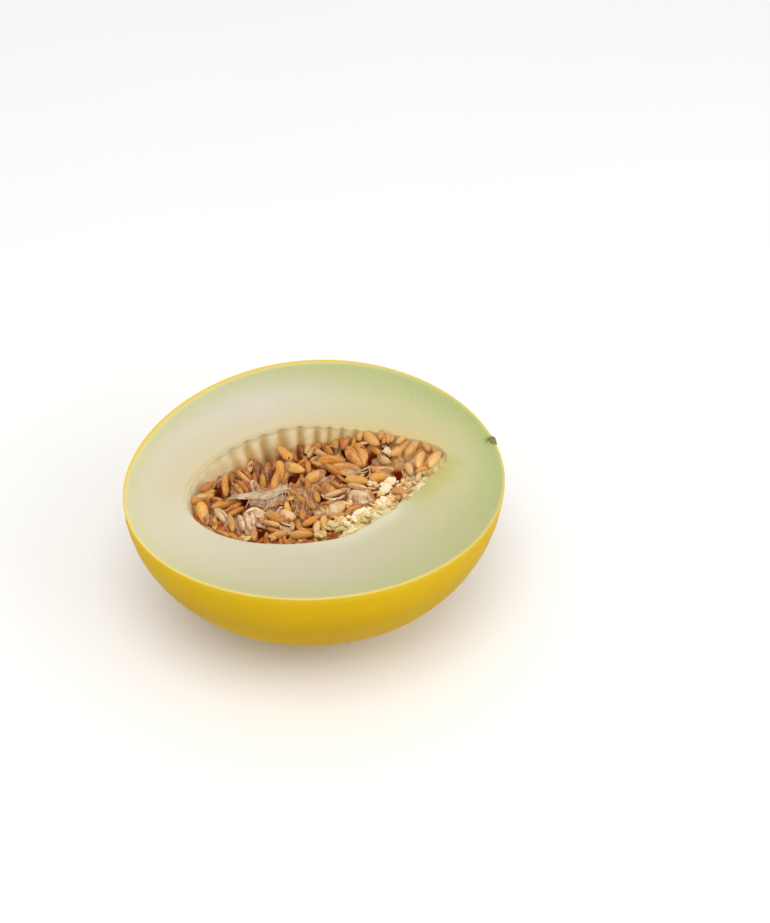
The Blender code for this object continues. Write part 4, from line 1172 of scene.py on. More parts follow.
def strand_piece(name, table, mat, count=36):
    verts, faces = [], []
    for i, (line, thick, flat) in enumerate(table):
        tube(verts, faces, seen_line(line, count), taper(count, thick), flat, phase=3.3 * i)
    obj = mesh_object(name, np.array(verts), faces, mat)
    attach(obj, "root")
    return obj


white_mat = strand_material("pulp_strands_white", srgb(236, 206, 166), srgb(206, 160, 114), 0.70)
cream_mat = strand_material("pulp_strands_cream", srgb(242, 222, 184), srgb(222, 184, 136), 1.0)
brown_mat = strand_material("pulp_fibres_brown", srgb(206, 156, 98), srgb(158, 98, 50), 0.95)
strand_piece("strands_white", WHITE_STRANDS, white_mat)
strand_piece("strands_cream", CREAM_STRANDS, cream_mat)
strand_piece("fibres_brown", PULP_LINES, brown_mat, 20)


def membrane(name, rows, mat, nu=60, nv=24, folds=9.0, amp=0.8, thick=0.22, seed=0.0, over=None):
    """A thin wrinkled skin lofted through rows of (x, y, depth) read on the enlargement."""
    grid = np.array([seen_line(r, nu) for r in rows])
    lines = np.stack([smooth_line(grid[:, u], nv) for u in range(nu)], 1)          # nv x nu x 3
    uu, vv = np.meshgrid(np.linspace(0, 1, nu), np.linspace(0, 1, nv))
    pts = lines.reshape(-1, 3)
    w = field(pts, 3.4, 4, 20.0 + seed).reshape(nv, nu)
    w2 = field(pts, 7.0, 2, 40.0 + seed).reshape(nv, nu)
    fold = np.sin(uu * folds * 2 * np.pi + 4.6 * w2 + 1.4 * w) * (0.35 + 0.65 * vv) * (0.4 + 0.6 * np.abs(w2))
    lift = amp * (0.55 * fold + 0.95 * w)
    toward = -np.array(tuple(AHEAD))
    top = lines + toward * lift[..., None]
    if over is not None:             # laid over the seeds that are under it, taut between them
        want = top[..., 2].copy()
        for r in range(nv):
            for c in range(nu):
                z = top_of_pile(top[r, c, 0], top[r, c, 1])
                if z is not None and z < FACE_Z - 0.5:
                    want[r, c] = min(max(want[r, c], z + 0.15), want[r, c] + 4.0) if z > want[r, c] else max(z + 0.15, want[r, c] - over)
        for _ in range(3):
            k = want.copy()
            k[1:-1] = np.maximum(k[1:-1], 0.5 * (want[:-2] + want[2:]))
            k[:, 1:-1] = np.maximum(k[:, 1:-1], 0.5 * (want[:, :-2] + want[:, 2:]))
            want = 0.5 * (k + want)
        top[..., 2] = want + 0.25 * (lift / max(amp, 1e-6)) * 0.5
    under = top - toward * thick
    verts = np.concatenate([top.reshape(-1, 3), under.reshape(-1, 3)])
    n = nu * nv
    faces = []
    for r in range(nv - 1):
        for c in range(nu - 1):
            a, b, d, e = r * nu + c, r * nu + c + 1, (r + 1) * nu + c + 1, (r + 1) * nu + c
            faces.append((a, e, d, b))
            faces.append((n + a, n + b, n + d, n + e))
    for c in range(nu - 1):
        faces.append((c, c + 1, n + c + 1, n + c))
        q = (nv - 1) * nu + c
        faces.append((q + 1, q, n + q, n + q + 1))
    for r in range(nv - 1):
        q = r * nu
        faces.append((q + nu, q, n + q, n + q + nu))
        q = r * nu + nu - 1
        faces.append((q, q + nu, n + q + nu, n + q))
    obj = mesh_object(name, verts, faces, mat)
    fade = np.sin(np.pi * uu) ** 0.45 * np.clip(np.sin(np.pi * np.clip(vv * 0.94 + 0.03, 0, 1)), 0, 1) ** 0.45
    attribute(obj, "fade", np.concatenate([fade.ravel()] * 2))
    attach(obj, "root")
    return obj


flake_mat = strand_material("pulp_flake_orange", srgb(236, 166, 84), srgb(208, 118, 44), 1.15)
shell_mat = strand_material("pulp_shell_golden", srgb(236, 186, 112), srgb(210, 140, 70), 0.98, skin=True, torn=0.52)
cream_skin = strand_material("pulp_skin_cream", srgb(244, 218, 164), srgb(226, 184, 116), 0.95, skin=True, torn=0.58, dirt=0.35)
tan_skin = strand_material("pulp_skin_light", srgb(234, 196, 138), srgb(218, 172, 110), 0.98, skin=True, torn=0.46, dirt=0.25)
skin_mat = strand_material("pulp_skin_tan", srgb(210, 162, 108), srgb(164, 98, 50), 0.92, skin=True, torn=0.68)
grey_mat = strand_material("pulp_skin_grey", srgb(222, 186, 146), srgb(182, 130, 88), 0.86, skin=True)
pink_mat = strand_material("pulp_skin_pink", srgb(252, 224, 184), srgb(232, 184, 138), 0.98, skin=True, torn=0.56, dirt=0.45)
membrane("membrane_middle_left", [[(396, 486, 6.0), (470, 492, 5.6), (540, 490, 5.6), (640, 440, 6.2)], [(396, 520, 7.6), (470, 530, 7.0), (560, 528, 7.0), (646, 500, 7.2)], [(404, 556, 9.4), (470, 566, 9.2), (560, 570, 9.2), (650, 560, 9.0)]], grey_mat, 80, 22, 4.0, 1.0, seed=1.0)
membrane("membrane_middle", [[(640, 428, 6.6), (700, 410, 6.8), (760, 404, 7.2), (850, 410, 7.6)], [(640, 480, 7.0), (710, 470, 6.8), (780, 470, 7.0), (856, 480, 7.6)], [(646, 540, 8.4), (710, 540, 8.2), (790, 540, 8.2), (860, 550, 8.8)], [(650, 590, 10.2), (710, 596, 10.0), (790, 600, 10.0), (860, 600, 10.2)]], skin_mat, 100, 34, 4.5, 1.3, seed=2.0)
membrane("membrane_right", [[(1020, 452, 5.6), (1070, 456, 5.2), (1130, 470, 5.0), (1170, 490, 5.2)], [(1024, 500, 5.8), (1080, 496, 5.2), (1130, 506, 5.0), (1180, 526, 5.2)], [(1020, 540, 7.0), (1080, 536, 6.4), (1140, 546, 6.2), (1180, 560, 6.2)]], pink_mat, 70, 34, 4.0, 0.7, seed=3.0, over=1.0)
membrane("membrane_shell", [[(850, 300, 7.0), (930, 300, 6.4), (1010, 312, 6.0), (1090, 338, 5.6)], [(880, 322, 7.2), (950, 336, 6.6), (1020, 346, 6.0), (1096, 348, 5.8)], [(900, 336, 8.0), (960, 356, 7.4), (1020, 370, 7.0), (1080, 362, 6.6)]], shell_mat, 60, 16, 5.0, 0.5, seed=4.0)
membrane("membrane_upper_left", [[(430, 400, 6.4), (460, 410, 6.8), (500, 430, 7.0), (540, 446, 7.0)], [(424, 440, 6.4), (460, 450, 6.4), (500, 462, 6.2), (540, 470, 6.0)], [(420, 478, 6.0), (460, 486, 5.6), (500, 486, 5.4), (540, 482, 5.4)]], grey_mat, 40, 20, 4.0, 0.5, seed=5.0)
membrane("membrane_near_left", [[(384, 600, 7.2), (420, 572, 6.4), (470, 572, 6.4), (520, 600, 7.4)], [(392, 636, 8.0), (430, 620, 7.2), (478, 622, 7.4), (520, 646, 8.4)], [(400, 676, 9.6), (440, 668, 9.0), (486, 676, 9.2), (520, 690, 10.0)]], pink_mat, 60, 20, 9.0, 0.7, seed=6.0)

membrane("flake_upper_right", [[(996, 202, 5.4), (1030, 178, 5.0), (1070, 186, 4.8), (1116, 194, 5.0)], [(1000, 236, 5.4), (1040, 226, 4.7), (1080, 232, 4.6), (1120, 244, 5.0)],
                               [(1022, 276, 5.8), (1050, 270, 5.0), (1084, 276, 5.0), (1114, 284, 5.4)], [(1056, 306, 6.4), (1070, 312, 6.2), (1084, 316, 6.2), (1098, 310, 6.4)]], flake_mat, 44, 40, 2.0, 0.55, thick=0.6, seed=12.0)
membrane("flake_shell", [[(838, 258, 7.6), (880, 248, 6.8), (930, 250, 6.4), (984, 268, 6.4)], [(846, 282, 7.2), (890, 276, 6.2), (940, 278, 5.8), (1000, 296, 6.0)],
                         [(872, 304, 7.6), (910, 306, 6.6), (960, 312, 6.2), (1020, 324, 6.2)]], shell_mat, 50, 26, 2.0, 0.4, thick=0.5, seed=13.0)
membrane("membrane_fan", [[(330, 604, 7.6), (366, 588, 6.8), (408, 584, 6.4), (456, 600, 6.8)], [(332, 650, 8.0), (370, 640, 7.0), (410, 642, 6.8), (458, 652, 7.4)],
                          [(340, 704, 9.0), (376, 712, 8.4), (414, 716, 8.2), (458, 716, 8.6)]], pink_mat, 96, 40, 9.0, 0.9, seed=11.0, over=1.5)
membrane("membrane_left_low", [[(196, 556, 6.4), (230, 560, 5.8), (262, 580, 5.8), (300, 604, 6.6)], [(200, 600, 7.4), (236, 610, 7.0), (270, 626, 6.8), (312, 640, 7.4)],
                               [(214, 650, 8.6), (250, 662, 8.2), (286, 674, 8.0), (322, 690, 8.4)]], pink_mat, 60, 36, 5.0, 0.6, seed=14.0, over=1.5)
membrane("membrane_low_middle", [[(506, 632, 7.4), (560, 636, 7.0), (620, 650, 7.0), (670, 668, 7.6)], [(510, 660, 7.8), (570, 668, 7.4), (630, 680, 7.4), (690, 692, 8.0)],
                                 [(520, 692, 8.8), (580, 700, 8.4), (640, 706, 8.2), (700, 712, 8.6)]], cream_skin, 70, 32, 6.0, 0.5, seed=15.0, over=1.5)
membrane("membrane_low_right", [[(800, 560, 7.0), (850, 560, 6.4), (900, 566, 6.2), (960, 560, 6.0)], [(806, 590, 7.4), (860, 592, 6.8), (910, 596, 6.4), (980, 590, 6.2)],
                                [(812, 626, 8.2), (866, 630, 7.6), (920, 630, 7.2), (990, 622, 7.0)]], pink_mat, 60, 32, 4.0, 0.5, seed=16.0, over=1.2)
membrane("membrane_far_right", [[(1290, 226, 5.8), (1340, 222, 5.0), (1390, 224, 4.6), (1436, 232, 4.4)], [(1292, 252, 6.2), (1340, 250, 5.4), (1392, 252, 5.0), (1440, 258, 4.8)],
                                [(1300, 282, 6.8), (1346, 284, 6.2), (1394, 286, 5.8), (1440, 288, 5.4)]], tan_skin, 60, 32, 3.0, 0.4, thick=0.4, seed=17.0, over=2.0)
dark_skin = strand_material("pulp_skin_dark", srgb(196, 130, 92), srgb(128, 60, 34), 0.92, skin=True, torn=0.60, dirt=0.5)
membrane("membrane_upper_dark", [[(436, 292, 12.0), (480, 286, 12.0), (520, 280, 11.5), (560, 278, 11.0)], [(436, 340, 11.5), (480, 340, 11.0), (522, 340, 10.6), (560, 336, 10.4)],
                                 [(444, 400, 10.5), (484, 404, 10.2), (524, 410, 9.6), (560, 404, 9.6)]], dark_skin, 70, 36, 7.0, 0.8, seed=18.0, over=1.5)
patch_mat = strand_material("pulp_skin_patch", srgb(242, 204, 152), srgb(208, 150, 94), 0.86, skin=True, torn=0.68, dirt=0.5)
for k, (x, y, w, h, d) in enumerate([(258, 520, 56, 26, 8.0), (330, 452, 44, 30, 8.6), (612, 512, 50, 34, 8.6), (716, 560, 60, 34, 8.4), (760, 470, 56, 32, 8.0), (870, 396, 50, 30, 8.0),
                                     (744, 652, 60, 30, 8.8), (1190, 262, 54, 26, 6.6), (1250, 366, 46, 30, 6.0), (962, 214, 46, 26, 8.0), (820, 300, 40, 30, 8.6), (600, 420, 40, 30, 8.4)]):
    membrane(f"membrane_patch_{k + 1:02d}", [[(x - w, y - h, d), (x, y - h * 1.1, d), (x + w, y - h * 0.9, d)], [(x - w * 0.9, y, d), (x, y, d), (x + w * 1.1, y, d)],
                                             [(x - w, y + h, d), (x, y + h * 1.1, d), (x + w * 0.9, y + h, d)]], patch_mat, 40, 24, 4.0, 0.5, seed=30.0 + k, over=2.0)

veil_mat = strand_material("pulp_veil", srgb(240, 218, 186), srgb(214, 178, 138), 0.78, skin=True, dirt=0.5)
membrane("veil_main", [[(284, 488, 6.8), (350, 470, 6.2), (430, 462, 5.8), (500, 466, 5.4), (560, 436, 5.2), (650, 408, 6.0)],
                       [(284, 504, 6.4), (350, 490, 5.8), (430, 486, 5.2), (510, 490, 4.9), (570, 460, 4.9), (652, 430, 5.6)],
                       [(290, 516, 6.8), (350, 508, 6.2), (430, 508, 5.8), (510, 512, 5.4), (580, 486, 5.4), (656, 452, 6.0)]], veil_mat, 90, 16, 5.0, 0.35, seed=7.0)
membrane("veil_patch", [[(556, 424, 6.2), (600, 414, 6.2), (648, 410, 6.6)], [(556, 448, 5.6), (604, 440, 5.6), (650, 436, 6.0)], [(560, 476, 6.0), (606, 472, 6.0), (650, 470, 6.4)]], veil_mat, 40, 20, 3.0, 0.4, seed=8.0)
membrane("veil_upper", [[(418, 396, 6.2), (440, 392, 6.4), (470, 400, 7.0)], [(424, 432, 6.0), (450, 430, 6.2), (486, 440, 6.8)], [(440, 470, 5.6), (470, 470, 5.8), (500, 476, 6.0)]], veil_mat, 30, 24, 2.0, 0.4, seed=9.0)
membrane("veil_near_left", [[(392, 604, 6.8), (424, 574, 6.0), (460, 564, 5.8), (500, 580, 6.4), (530, 604, 7.2)], [(394, 622, 7.0), (428, 592, 6.0), (466, 584, 5.8), (504, 600, 6.4), (528, 622, 7.4)], [(396, 644, 7.4), (430, 622, 6.6), (468, 618, 6.4), (500, 632, 7.0), (522, 648, 8.0)]], pink_mat, 60, 18, 6.0, 0.5, seed=10.0)

# Torn pieces of flesh: x, y, half width and half height on the enlargement, depth (mm),
# tone: 0 white, 1 cream, 2 yellow-green, 3 tan, 4 reddish.
CHUNKS = [
    (1260, 405, 32, 28, 3.4, 0), (1244, 432, 24, 22, 3.4, 0), (1280, 390, 17, 15, 3.6, 0), (1226, 454, 27, 22, 3.4, 0), (1208, 472, 20, 15, 3.5, 1),
    (1222, 520, 36, 25, 3.0, 0), (1194, 537, 24, 17, 3.2, 0), (1250, 531, 25, 20, 2.8, 1), (1178, 553, 21, 15, 3.2, 1), (1274, 504, 22, 18, 2.8, 1),
    (1072, 600, 42, 27, 3.6, 0), (1110, 586, 34, 23, 3.4, 0), (1045, 627, 27, 20, 3.8, 0), (1134, 570, 21, 17, 3.4, 1), (1092, 622, 28, 17, 3.2, 2),
    (924, 663, 31, 24, 4.8, 2), (952, 650, 23, 23, 4.8, 2), (900, 650, 20, 20, 5.2, 0), (978, 640, 27, 24, 4.4, 1), (1002, 655, 19, 17, 3.8, 0),
    (960, 685, 25, 14, 3.8, 2), (1244, 206, 20, 16, 4.6, 0), (1260, 229, 16, 18, 4.8, 0), (1226, 190, 14, 10, 5.0, 1), (1238, 224, 11, 11, 5.0, 0),
    (1318, 468, 29, 24, 2.8, 3), (1342, 448, 20, 16, 3.0, 2), (1300, 500, 23, 16, 2.6, 3), (1350, 490, 17, 14, 2.4, 2), 
    (1402, 449, 25, 16, 2.6, 2),  (1420, 412, 20, 14, 3.0, 1), (1372, 420, 19, 15, 3.2, 1), (868, 714, 21, 14, 4.6, 2),
    (846, 728, 15, 9, 4.6, 2), (822, 718, 17, 11, 5.0, 1), (838, 706, 11, 10, 5.2, 1), (380, 735, 15, 13, 5.8, 1), (412, 737, 13, 11, 5.6, 1),
    (396, 748, 13, 8, 5.4, 1), (560, 738, 15, 11, 5.4, 1), (546, 728, 11, 9, 5.6, 1), (720, 756, 11, 6, 4.6, 2), (900, 715, 15, 8, 4.2, 4),
    (930, 706, 13, 7, 4.2, 4), (1160, 412, 22, 12, 4.8, 0), (1182, 425, 15, 12, 4.6, 1), (1140, 402, 12, 10, 5.0, 0), (1364, 304, 15, 11, 4.6, 1),
    (1452, 346, 23, 12, 3.4, 2),    
     (780, 206, 11, 12, 12.0, 0), (800, 229, 11, 12, 11.0, 0), (846, 238, 18, 10, 8.8, 0), (822, 222, 11, 10, 10.0, 1),
    (1020, 525, 13, 13, 5.8, 0), (1008, 592, 19, 12, 5.2, 3), (965, 614, 21, 12, 5.6, 3), (872, 592, 19, 10, 6.4, 3), (838, 602, 15, 10, 7.2, 3),
    (1216, 560, 17, 10, 2.8, 2), (1162, 588, 19, 11, 2.8, 2), (1130, 606, 19, 11, 2.8, 2), (1340, 400, 14, 20, 4.0, 1), (1310, 430, 16, 14, 3.4, 1),
]


def crumb_material(name, light, dark):
    n = Nodes(name)
    pos = n.position()
    a = n.noise(480.0, 4.0, 0.65, pos)
    col = n.mix(n.span(a, 0.35, 0.7), light, dark)
    # painted shade: the crevices between the lobes mixed towards a warm orange-brown
    col = n.mix(n.math("MULTIPLY", n.attr("hollow"), 0.60), col, n.mix(0.60, dark, srgb(214, 146, 82)))
    n.set(Base_Color=col, Roughness=0.35, Normal=n.bump(n.noise(700.0, 3.0, 0.6, pos), 0.12, 0.0005), Subsurface_Weight=0.4,
          Subsurface_Scale=0.0007, Specular_IOR_Level=0.12, Coat_Weight=0.05, Coat_Roughness=0.2)
    n.put(n.shader.inputs["Subsurface Radius"], (1.0, 0.92, 0.80))
    return n.mat


CRUMB_MATS = [crumb_material("pulp_crumb_white", srgb(251, 234, 202), srgb(240, 216, 168)),
              crumb_material("pulp_crumb_cream", srgb(242, 208, 156), srgb(226, 182, 120)),
              crumb_material("pulp_crumb_green", srgb(222, 206, 150), srgb(202, 178, 110)),
              crumb_material("pulp_crumb_tan", srgb(216, 164, 102), srgb(188, 130, 70)),
              crumb_material("pulp_crumb_red", srgb(196, 112, 70), srgb(150, 70, 40))]


def chunk(verts, faces, hollow, middle, across, high, seed, nu=30, nv=20):
    """Adds a torn piece of flesh: a ball pulled into soft lobes; half sizes (mm) as seen."""
    base = len(verts)
    right, up, ahead = (np.array(tuple(v)) for v in (RIGHT, UP, AHEAD))
    deep = 0.5 * (across + high) * 0.9
    tilt = 0.5 * math.sin(seed * 7.0)
    axis1, axis2 = right * math.cos(tilt) + up * math.sin(tilt), up * math.cos(tilt) - right * math.sin(tilt)

    def at(d):
        q = Vector(tuple(d * 1.15)) + Vector((seed * 3.1, seed * 1.7, 0))
        reach = 1.08 + 0.56 * noise.noise(q) + 0.17 * noise.noise(q * 2.1) + 0.05 * noise.noise(q * 4.6)
        reach = max(0.35, reach)
        # how far into a crevice the point lies, for the crumbs' painted shade
        hollow.append(min(1.0, max(0.0, (1.02 - reach) / 0.42)))
        p = middle + (axis1 * d[0] * across + axis2 * d[1] * high + ahead * d[2] * deep) * reach
        p[2] = min(p[2], FACE_Z + 0.4)
        return p

    for r in range(1, nv):
        th = math.pi * r / nv
        for k in range(nu):
            ph = 2 * math.pi * k / nu
            verts.append(at(np.array((math.sin(th) * math.cos(ph), math.sin(th) * math.sin(ph), math.cos(th)))))
    verts.append(at(np.array((0, 0, 1.0))))
    verts.append(at(np.array((0, 0, -1.0))))
    rows = nv - 1
    for r in range(rows - 1):
        for k in range(nu):
            j = (k + 1) % nu
            faces.append((base + r * nu + k, base + (r + 1) * nu + k, base + (r + 1) * nu + j, base + r * nu + j))
    for k in range(nu):
        j = (k + 1) % nu
        faces.append((base + k, base + j, base + rows * nu))
        faces.append((base + (rows - 1) * nu + j, base + (rows - 1) * nu + k, base + rows * nu + 1))


SEEN_MM = 0.0772       # mm for one unit of the enlargement
CHUNK_NAMES = ("flesh_chunks_white", "flesh_chunks_cream", "flesh_chunks_green", "flesh_chunks_tan", "flesh_chunks_red")
for tone in range(5):
    verts, faces, hollow = [], [], []
    chunk_rng = random.Random(40 + tone)
    for i, (x, y, hw, hh, d, t) in enumerate(CHUNKS):
        if t != tone:
            continue
        mid = np.array(tuple(at_level(*near(x, y), d)))
        chunk(verts, faces, hollow, mid, hw * SEEN_MM, hh * SEEN_MM, i + 1.0)
        for _ in range(2):
            off = (np.array(tuple(RIGHT)) * chunk_rng.uniform(-1.2, 1.2) * hw + np.array(tuple(UP)) * chunk_rng.uniform(-1.1, 1.0) * hh) * SEEN_MM
            size = chunk_rng.uniform(0.38, 0.62) * 0.5 * (hw + hh) * SEEN_MM
            chunk(verts, faces, hollow, mid + off, size * chunk_rng.uniform(1.0, 2.4), size * chunk_rng.uniform(0.5, 0.9), chunk_rng.uniform(0, 50), 18, 12)
    obj = mesh_object(CHUNK_NAMES[tone], np.array(verts), faces, CRUMB_MATS[tone])
    attribute(obj, "hollow", np.array(hollow))
    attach(obj, "root")


# ---- the torn flesh along the cavity's edge beside the stem end -----------------------------
def torn_material():
    n = Nodes("torn_flesh")
    pos = n.position()
    high = n.attr("high")            # -1 in the tears, 1 on the crests
    inner = n.attr("inner")          # 0 at the lip, 1 where it meets the pulp
    a = n.noise(260.0, 3.0, 0.55, pos)
    # painted shade and light: the colour follows the relief, darker down in the tears and paler up on the crests
    h = n.math("ADD", n.math("MULTIPLY", high, 0.5), n.math("MULTIPLY", a, 0.6))
    col = n.ramp(h, [(0.08, srgb(176, 128, 58)), (0.28, srgb(204, 172, 98)), (0.50, srgb(226, 206, 146)), (0.75, srgb(242, 232, 200))])
    col = n.mix(n.span(inner, 0.0, 0.35, 0.75, 0.0), col, srgb(226, 214, 170))
    col = n.mix(n.span(inner, 0.70, 1.0, 0.0, 0.45), col, srgb(206, 146, 84))
    # the soft stretch too, with the same painted shade in the tears
    col = n.mix(n.math("MULTIPLY", n.attr("soft"), 0.8), col, n.ramp(h, [(0.1, srgb(188, 164, 94)), (0.5, srgb(208, 197, 136)), (0.9, srgb(216, 208, 154))]))
    n.set(Base_Color=col, Roughness=0.32, Normal=n.bump(n.noise(700.0, 3.0, 0.6, pos), 0.25, 0.0006), Subsurface_Weight=0.4,
          Subsurface_Scale=0.003, Coat_Weight=0.25, Coat_Roughness=0.2)
    n.put(n.shader.inputs["Subsurface Radius"], (1.0, 0.85, 0.55))
    return n.mat


def build_torn(mat):
    nu, nv = 320, 56
    dense = np.linspace(math.radians(268), math.radians(357), 2000)
    edge_line = mouth(dense)
    s_len = np.concatenate([[0], np.cumsum(np.linalg.norm(np.diff(edge_line, axis=0), axis=1))])
    phi = np.interp(np.linspace(0, s_len[-1], nu), s_len, dense)
    m = mouth(phi)
    t = mouth(phi + 1e-3) - mouth(phi - 1e-3)
    inward = np.stack([-t[:, 1], t[:, 0]], -1)
    inward /= np.linalg.norm(inward, axis=1)[:, None]
    u = np.linspace(0, 1, nu)[:, None]
    v = np.linspace(0, 1, nv)[None, :]
    ends = smoothstep(0.0, 0.16, u) * smoothstep(0.0, 0.08, 1 - u)
    reach = (4.5 + 8.5 * ends) * (1 + 0.25 * np.array([noise.noise(Vector((3.0 * q, 7.7, 1.2))) for q in np.linspace(0, 6, nu)])[:, None])
    away = -2.0 + (reach + 2.0) * v
    xy = np.array((CAVITY_X, CAVITY_Y)) + m[:, None, :] + inward[:, None, :] * away[..., None]
    below = 1.0 + (4.9 * ends + 3.0 * (1 - ends)) * np.clip(v, 0, 1) ** 0.75 + 4.0 * smoothstep(0.82, 1.0, v) + 0 * u
    base = np.concatenate([xy, (FACE_Z - below)[..., None]], -1)
    flat = base.reshape(-1, 3)
    f1, f2, f3 = (field(flat, sc, 3, sd).reshape(nu, nv) for sc, sd in ((7.0, 60.0), (3.0, 61.0), (1.3, 62.0)))
    rough = 1.0 * f1 + 0.55 * (1 - 2 * np.abs(f2)) + 0.6 * f2 + 0.16 * f3
    fade = smoothstep(0.0, 0.22, v) * (0.5 + 0.5 * ends)
    smooth_end = smoothstep(0.60, 0.82, u)
    lift = 1.5 * rough * fade * (1 - 0.72 * smooth_end)
    lift = np.minimum(lift, below - 0.2)
    top = base.copy()
    top[..., 2] += lift
    top[..., :2] += inward[:, None, :] * (1.1 * f2 * fade)[..., None]
    under = base.copy()
    under[..., 2] -= 3.0
    verts = np.concatenate([top.reshape(-1, 3), under.reshape(-1, 3)])
    n = nu * nv
    faces = []
    for i in range(nu - 1):
        for k in range(nv - 1):
            a, b, c, d = i * nv + k, (i + 1) * nv + k, (i + 1) * nv + k + 1, i * nv + k + 1
            faces.append((a, b, c, d))
            faces.append((n + a, n + d, n + c, n + b))
    for i in range(nu - 1):
        a, b = i * nv, (i + 1) * nv
        faces.append((b, a, n + a, n + b))
        a, b = i * nv + nv - 1, (i + 1) * nv + nv - 1
        faces.append((a, b, n + b, n + a))
    for k in range(nv - 1):
        a, b = k, k + 1
        faces.append((a, b, n + b, n + a))
        a, b = (nu - 1) * nv + k, (nu - 1) * nv + k + 1
        faces.append((b, a, n + a, n + b))
    obj = mesh_object("torn_flesh", verts, faces, mat)
    attribute(obj, "high", np.concatenate([(rough * fade).ravel(), np.full(n, -1.0)]))
    attribute(obj, "soft", np.concatenate([(smooth_end + 0 * v).ravel()] * 2))
    attribute(obj, "inner", np.concatenate([np.broadcast_to(v, (nu, nv)).ravel()] * 2))
    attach(obj, "root")
    return obj


build_torn(torn_material())


# ---- the corky stub where the stem broke off, cut in half with the fruit ----------------------------
def cork_material():
    n = Nodes("stem_cork")
    pos = n.position()
    a = n.noise(900.0, 4.0, 0.65, pos)
    n.set(Base_Color=n.ramp(a, [(0.3, srgb(78, 80, 40)), (0.5, srgb(122, 108, 68)), (0.66, srgb(180, 148, 112))]), Roughness=0.75,
          Normal=n.bump(n.noise(1600.0, 4.0, 0.7, pos), 0.6, 0.0006))
    return n.mat


def build_stub(mat):
    verts, faces = [], []
    nu, nv = 40, 24
    for r in range(1, nv):
        th = math.pi * r / nv
        for k in range(nu):
            ph = 2 * math.pi * k / nu
            d = np.array((math.sin(th) * math.cos(ph), math.sin(th) * math.sin(ph), math.cos(th)))
            reach = 1 + 0.22 * noise.noise(Vector(tuple(d * 2.0))) + 0.14 * noise.noise(Vector(tuple(d * 5.0)))
            verts.append(np.array((87.6, -4.6, FACE_Z - 0.4)) + d * reach * np.array((1.4, 2.9, 2.9)))
    verts.append(np.array((87.6, -4.6, FACE_Z + 3.0)))
    verts.append(np.array((87.6, -4.6, FACE_Z - 3.8)))
    rows = nv - 1
    for r in range(rows - 1):
        for k in range(nu):
            j = (k + 1) % nu
            faces.append((r * nu + k, (r + 1) * nu + k, (r + 1) * nu + j, r * nu + j))
    for k in range(nu):
        j = (k + 1) % nu
        faces.append((k, j, rows * nu))
        faces.append(((rows - 1) * nu + j, (rows - 1) * nu + k, rows * nu + 1))
    pts = np.array(verts)
    pts[:, 2] = np.minimum(pts[:, 2], FACE_Z + 0.12 - 0.02 * np.linalg.norm(pts[:, :2] - np.array((87.6, -4.6)), axis=1))
    obj = mesh_object("stem_stub", pts, faces, mat)
    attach(obj, "root")


build_stub(cork_material())


# ---- shreds of pulp draped over the seeds -----------------------------------------------------------
PILE = pile_tree()


def shred_material():
    n = Nodes("pulp_shred")
    pos = n.position()
    hue = n.attr("hue")
    a = n.noise(420.0, 3.0, 0.6, pos)
    col = n.ramp(n.math("ADD", hue, n.math("MULTIPLY", n.math("SUBTRACT", a, 0.5), 0.35)),
                 [(0.0, srgb(140, 52, 14)), (0.3, srgb(206, 124, 56)), (0.6, srgb(238, 186, 122)), (1.0, srgb(252, 228, 188))])
    n.set(Base_Color=col, Roughness=0.3, Normal=n.bump(n.noise(1100.0, 3.0, 0.6, pos), 0.3, 0.0004), Alpha=n.span(a, 0.25, 0.6, 1.0, 0.7),
          Subsurface_Weight=0.3, Subsurface_Scale=0.002, Coat_Weight=0.35, Coat_Roughness=0.12)
    n.put(n.shader.inputs["Subsurface Radius"], (1.0, 0.6, 0.35))
    return n.mat


